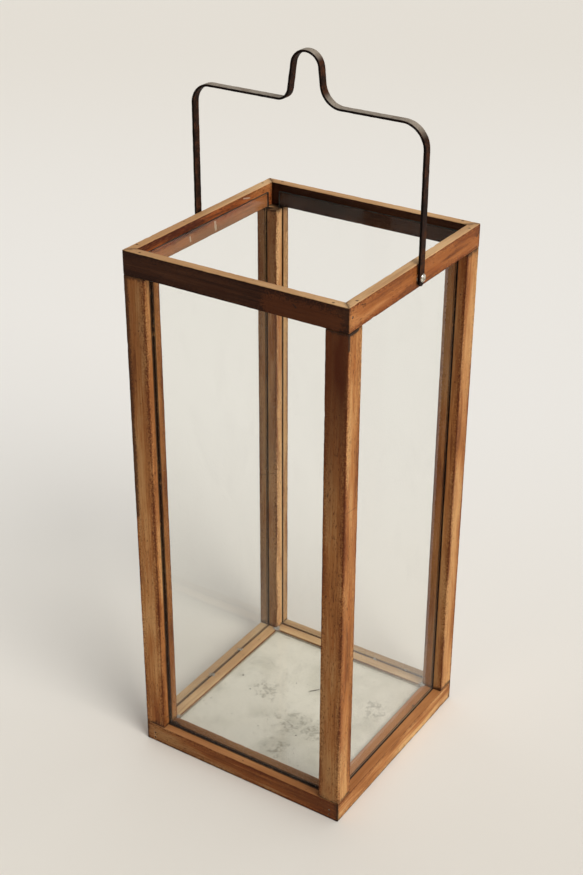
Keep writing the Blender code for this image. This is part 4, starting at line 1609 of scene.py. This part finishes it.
@dataclass
class Studio:
    """A wide pale floor, one big soft light from the right, pale surroundings and the camera."""

    floor_near: Colour = (0.815, 0.780, 0.718)
    floor_middle: Colour = (0.885, 0.868, 0.835)
    floor_far: Colour = (0.832, 0.800, 0.742)
    floor_reach: float = 40.0
    away: Point = (-0.544, 0.839, 0.0)              # from the camera, along the floor
    surroundings: Colour = (0.99, 0.985, 0.975)
    brightest: float = 0.74                         # of the surroundings
    darkest: float = 0.12                           # towards the dark side
    backdrop: Colour = (0.768, 0.716, 0.632)        # above the floor's far edge, to match it
    dark_side: Point = (-0.10, -0.97, 0.20)
    light_colour: Colour = (1.0, 0.97, 0.925)
    light_strength: float = 2.15
    light_height: float = 41.0                      # degrees above the floor
    light_turn: float = -18.0                       # degrees from +X towards +Y
    light_softness: float = 34.0                    # degrees across
    camera_place: Point = (0.8254, -1.2989, 1.2424)
    camera_turn: float = 32.96                      # degrees from -Y towards +X
    camera_height: float = 28.47                    # degrees that it looks down
    camera_roll: float = 0.19
    lens: float = 62.28
    sensor: float = 36.0

    def build(self) -> None:
        """Set up everything that isn't the lantern."""
        bpy.context.scene.view_settings.view_transform = "Standard"
        self.build_floor()
        self.build_light()
        self.build_surroundings()
        self.build_camera()

    def build_floor(self) -> None:
        """A plain floor, a little paler further away, a hair below the lantern's underside."""
        reach, level = self.floor_reach, -0.05 * MM
        corners = rectangle((-reach, -reach), (reach, reach))
        mesh = bpy.data.meshes.new("studio_floor")
        mesh.from_pydata(np.column_stack([corners, np.full(4, level)]).tolist(), [], [(0, 1, 2, 3)])
        bench = NodeBench("studio_floor")
        along = bench.vector("DOT_PRODUCT", bench.coordinates(), self.away, output=1)
        colour = bench.blend(along.ramp(-0.35, 0.95), self.floor_near, self.floor_middle)
        colour = bench.blend(along.ramp(1.2, 3.6), colour, self.floor_far)
        shader = bench.principled(Base_Color=colour, Roughness=0.9, Specular_IOR_Level=0.1)
        mesh.materials.append(bench.surface(shader))
        floor = bpy.data.objects.new("studio_floor", mesh)
        bpy.context.scene.collection.objects.link(floor)

    def build_light(self) -> None:
        """A distant light so wide that its shadows fade within a hand's breadth."""
        light = bpy.data.lights.new("studio_light", "SUN")
        light.energy = self.light_strength
        light.color = self.light_colour
        light.angle = math.radians(self.light_softness)
        lamp = bpy.data.objects.new("studio_light", light)
        height, turn = math.radians(self.light_height), math.radians(self.light_turn)
        flat = math.cos(height)
        towards = Vector((flat * math.cos(turn), flat * math.sin(turn), math.sin(height)))
        lamp.rotation_euler = towards.to_track_quat("Z", "Y").to_euler()
        bpy.context.scene.collection.objects.link(lamp)

    def build_surroundings(self) -> None:
        """Pale light from everywhere but the dark side of the room; the backdrop itself is even."""
        bench = NodeBench("studio_surroundings", "worlds")
        seen = bench.wire("ShaderNodeLightPath", None, {}, "Is Camera Ray")
        way = bench.wire("ShaderNodeTexCoord", None, {}, "Generated")
        darkness = bench.vector("DOT_PRODUCT", way, self.dark_side, output=1).ramp(-0.15, 0.75)
        strength = self.brightest - darkness * (self.brightest - self.darkest)
        colour = bench.blend(seen, self.surroundings, self.backdrop)
        strength = strength + seen * (1.0 - strength)
        background = bench.wire("ShaderNodeBackground", None, {"Color": colour, "Strength": strength})
        bench.add("ShaderNodeOutputWorld", None, {0: background})
        bpy.context.scene.world = bench.owner

    def build_camera(self) -> None:
        """The camera, turned about Z, tipped down and rolled a little."""
        data = bpy.data.cameras.new("camera")
        data.sensor_fit = "VERTICAL"
        data.sensor_height = self.sensor
        data.lens = self.lens
        camera = bpy.data.objects.new("camera", data)
        turn = Matrix.Rotation(math.radians(self.camera_turn), 4, "Z")
        tip = Matrix.Rotation(math.radians(90 - self.camera_height), 4, "X")
        roll = Matrix.Rotation(math.radians(self.camera_roll), 4, "Z")
        camera.matrix_world = Matrix.Translation(self.camera_place) @ turn @ tip @ roll
        bpy.context.scene.collection.objects.link(camera)
        bpy.context.scene.camera = camera


# ---- The lantern ----


@dataclass
class Lantern:
    """Builds the sub-assemblies in order and gives each length of wood its finish."""

    sizes: Sizes
    shop: WoodShop = field(default_factory=WoodShop)

    def post_finishes(self) -> dict[Corner, WoodFinish]:
        """A finish for each post, each with its own figure, tone and marks."""
        reach = self.sizes.half
        inner = reach - self.sizes.post
        sooty = Mark((-reach, -reach, 627 * MM), (-reach, -reach, 330 * MM), 6.5 * MM,
                     (0.045, 0.016, 0.006), 0.8)
        hole = Mark((-132.8 * MM, -reach, 35.5 * MM), (-132.8 * MM, -reach, 35.5 * MM), 0.9 * MM)
        crack = Mark((reach, -139.5 * MM, 421.0 * MM), (reach, -112.5 * MM, 418.5 * MM), 0.35 * MM,
                     strength=0.7)
        rot = Mark((reach, -138.5 * MM, 626.0 * MM), (reach, -138.0 * MM, 609.0 * MM), 2.2 * MM)
        rot_top = Mark((reach, -138.0 * MM, 626.0 * MM), (reach, -122.0 * MM, 625.5 * MM), 2.4 * MM)
        seam = Mark((-reach, inner, 259.7 * MM), (-115.3 * MM, inner, 269.4 * MM), 0.5 * MM, strength=0.6)
        return {
            Corner.FRONT_LEFT: WoodFinish("post_front_left_finish", Grain.UPRIGHT, (-0.19, -0.10, 0), 1.3,
                                          balance=0.66, flecks=0.75, front_stain=-0.12, top_stain=0.52,
                                          stain_from=0.22, clean_lips=0.10, marks=(sooty, hole)),
            Corner.FRONT_RIGHT: WoodFinish("post_front_right_finish", Grain.UPRIGHT, (0.20, -0.19, 0), 2.9,
                                           balance=0.58, flecks=0.85, front_stain=0.22, top_stain=0.66,
                                           marks=(crack, rot, rot_top)),
            Corner.BACK_RIGHT: WoodFinish("post_back_right_finish", Grain.UPRIGHT, (0.18, 0.07, 0), 4.1,
                                          balance=0.80, flecks=0.4, front_stain=0.26, top_stain=0.28),
            Corner.BACK_LEFT: WoodFinish("post_back_left_finish", Grain.UPRIGHT, (-0.08, 0.19, 0), 5.7,
                                         pale=(0.68, 0.40, 0.18), balance=1.00, front_stain=0.50,
                                         top_stain=0.25, marks=(seam,)),
        }

    def top_finishes(self) -> dict[Side, WoodFinish]:
        """Top rails: front and back nearly black, left and right red-brown, all rubbed bare on top."""
        reach, rim = self.sizes.half, self.sizes.rim
        inner = reach - self.sizes.top_rail
        dark = {"deep": (0.026, 0.008, 0.003), "warm": (0.072, 0.024, 0.009), "pale": (0.125, 0.047, 0.019),
                "bare_above": rim, "grime": 0.5, "front_stain": 0.35}
        rubbed = Mark((50 * MM, -reach, 636 * MM), (120 * MM, -reach, 635 * MM), 16 * MM,
                      (0.150, 0.040, 0.010), 0.40)
        nick = Mark((75.2 * MM, -reach, 643.6 * MM), (78.5 * MM, -reach, 641.0 * MM), 1.0 * MM)
        scratch = Mark((reach, -117 * MM, 650.2 * MM), (reach, -108 * MM, 648.6 * MM), 0.5 * MM)
        fork = Mark((reach, -114 * MM, 650.0 * MM), (reach, -112.5 * MM, 645.5 * MM), 0.5 * MM, strength=0.6)
        glue = (0.62, 0.55, 0.42)
        bleached = Mark((-inner, -112 * MM, 632 * MM), (-inner, 112 * MM, 632 * MM), 10 * MM,
                        (0.52, 0.26, 0.10), 0.34)
        drip = Mark((-inner, -35 * MM, 638 * MM), (-inner, -34 * MM, 633 * MM), 1.5 * MM, glue, 0.55)
        drop = Mark((-inner, 13 * MM, 641 * MM), (-inner, 14 * MM, 632 * MM), 2.4 * MM, glue, 0.55)
        smear = Mark((-inner, 70 * MM, 651.5 * MM), (-inner, 82 * MM, 649 * MM), 1.0 * MM, glue, 0.5)
        red = {"deep": (0.150, 0.043, 0.012), "warm": (0.365, 0.122, 0.031), "pale": (0.490, 0.205, 0.066),
               "bare_above": rim, "grime": 0.5}
        blotchy = {**red, "deep": (0.085, 0.020, 0.007), "warm": (0.390, 0.105, 0.027), "flecks": 1.0,
                   "balance": 0.40}
        return {
            Side.FRONT: WoodFinish("top_rail_front_finish", Grain.ALONG_X, (0, -0.20, 0.60), 6.2,
                                   marks=(rubbed, nick), **dark),
            Side.RIGHT: WoodFinish("top_rail_right_finish", Grain.ALONG_Y, (0.21, 0, 0.62), 7.7,
                                   marks=(scratch, fork), **red),
            Side.BACK: WoodFinish("top_rail_back_finish", Grain.ALONG_X, (0, 0.19, 0.66), 8.4, **dark),
            Side.LEFT: WoodFinish("top_rail_left_finish", Grain.ALONG_Y, (-0.20, 0, 0.59), 9.9,
                                  marks=(bleached, drip, drop, smear), **blotchy),
        }

    def base_finishes(self) -> dict[Side, WoodFinish]:
        """Bottom rails: red-brown outside, paler on the ledges."""
        reach, top = self.sizes.half, self.sizes.base_high
        tones = {"deep": (0.160, 0.048, 0.014), "warm": (0.380, 0.135, 0.038), "bare_above": top,
                 "bare": (0.680, 0.465, 0.245), "soiled": 0.60}
        oiled = {"bare_above": top, "bare": (0.480, 0.230, 0.090)}
        orange = {**oiled, "pale": (0.72, 0.43, 0.18), "bare": (0.430, 0.185, 0.065)}
        crack = Mark((-129.6 * MM, -reach, 14.5 * MM), (-127.5 * MM, -reach, 4.0 * MM), 0.5 * MM,
                     (0.50, 0.36, 0.24), 0.7)
        seam = Mark((reach, -reach, 25 * MM), (reach, -reach, 1 * MM), 1.5 * MM)
        shade = Mark((-108 * MM, -119.5 * MM, top), (108 * MM, -119.5 * MM, top), 6.5 * MM,
                     (0.11, 0.05, 0.02), 0.55)
        # painted shadow in the corner between the front-left post's foot and the ledge
        foot = Mark((-113 * MM, -124 * MM, top), (-104 * MM, -125.5 * MM, top), 5.0 * MM)
        return {
            Side.FRONT: WoodFinish("bottom_rail_front_finish", Grain.ALONG_X, (0, -0.19, -0.03), 10.6,
                                   (0.150, 0.045, 0.013), (0.345, 0.115, 0.032), front_stain=0.24,
                                   clean_lips=0.15, marks=(crack, shade, seam, foot), **oiled),
            Side.RIGHT: WoodFinish("bottom_rail_right_finish", Grain.ALONG_Y, (0.19, 0, 0.05), 11.8,
                                   flecks=0.4, balance=0.90, **orange),
            Side.BACK: WoodFinish("bottom_rail_back_finish", Grain.ALONG_X, (0, 0.18, 0.06), 12.5, **tones),
            Side.LEFT: WoodFinish("bottom_rail_left_finish", Grain.ALONG_Y, (-0.19, 0, -0.04), 13.9, **tones),
        }

    def build(self) -> None:
        """Make every piece."""
        bright = SteelFinish("bright_steel_finish", (0.74, 0.71, 0.63), (0.16, 0.12, 0.07), 0.50, 0.13)
        dull = SteelFinish("nail_steel_finish", (0.26, 0.22, 0.18), (0.09, 0.045, 0.024), 0.75, 0.45)
        nails, screws, pivots = NailKit(dull), PostScrewKit(bright), Pivots(bright)
        nail_shafts, screw_shafts = nails.shafts(), screws.shafts()
        shafts = nail_shafts + screw_shafts
        bores = pivots.bores()
        board_low, board_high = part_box("floor_board")
        board = (board_low.z - GAP, board_high.z + GAP)
        Posts(self.sizes, self.shop, self.post_finishes()).build(shafts)
        rail_bores = {f"top_rail_{label}": [rings] for label, rings in bores.items()}
        Rails("top", self.sizes, self.shop, self.top_finishes(), 300).build(shafts, rail_bores)
        Rails("bottom", self.sizes, self.shop, self.base_finishes(), 700, board).build(shafts, {})
        Panes(PaneFinish("side_glass_finish")).build()
        floor_glass = PaneFinish("floor_glass_finish", haze=0.02, foot_haze=0.0, smears=0.10, specks=0.7)
        packed = DebrisFinish("floor_glass_edge_finish", (0.20, 0.16, 0.11), (0.46, 0.40, 0.30))
        Floor(floor_glass, packed, PaintFinish()).build()
        Bail(IronFinish()).build(list(bores.values()))
        pivots.build()
        nails.build(nail_shafts)
        screws.build(screw_shafts)
        crumbs = DebrisFinish("crumb_finish", (0.020, 0.017, 0.014), (0.110, 0.090, 0.065))
        lint = DebrisFinish("lint_finish", (0.34, 0.31, 0.27), (0.72, 0.70, 0.66))
        Debris(self.sizes, crumbs, lint).build()


def main() -> None:
    """Load the frame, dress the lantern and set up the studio."""
    logging.basicConfig(level=logging.INFO, format="%(message)s")
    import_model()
    Lantern(Sizes.from_frame()).build()
    Studio().build()


if __name__ == "__main__":
    main()
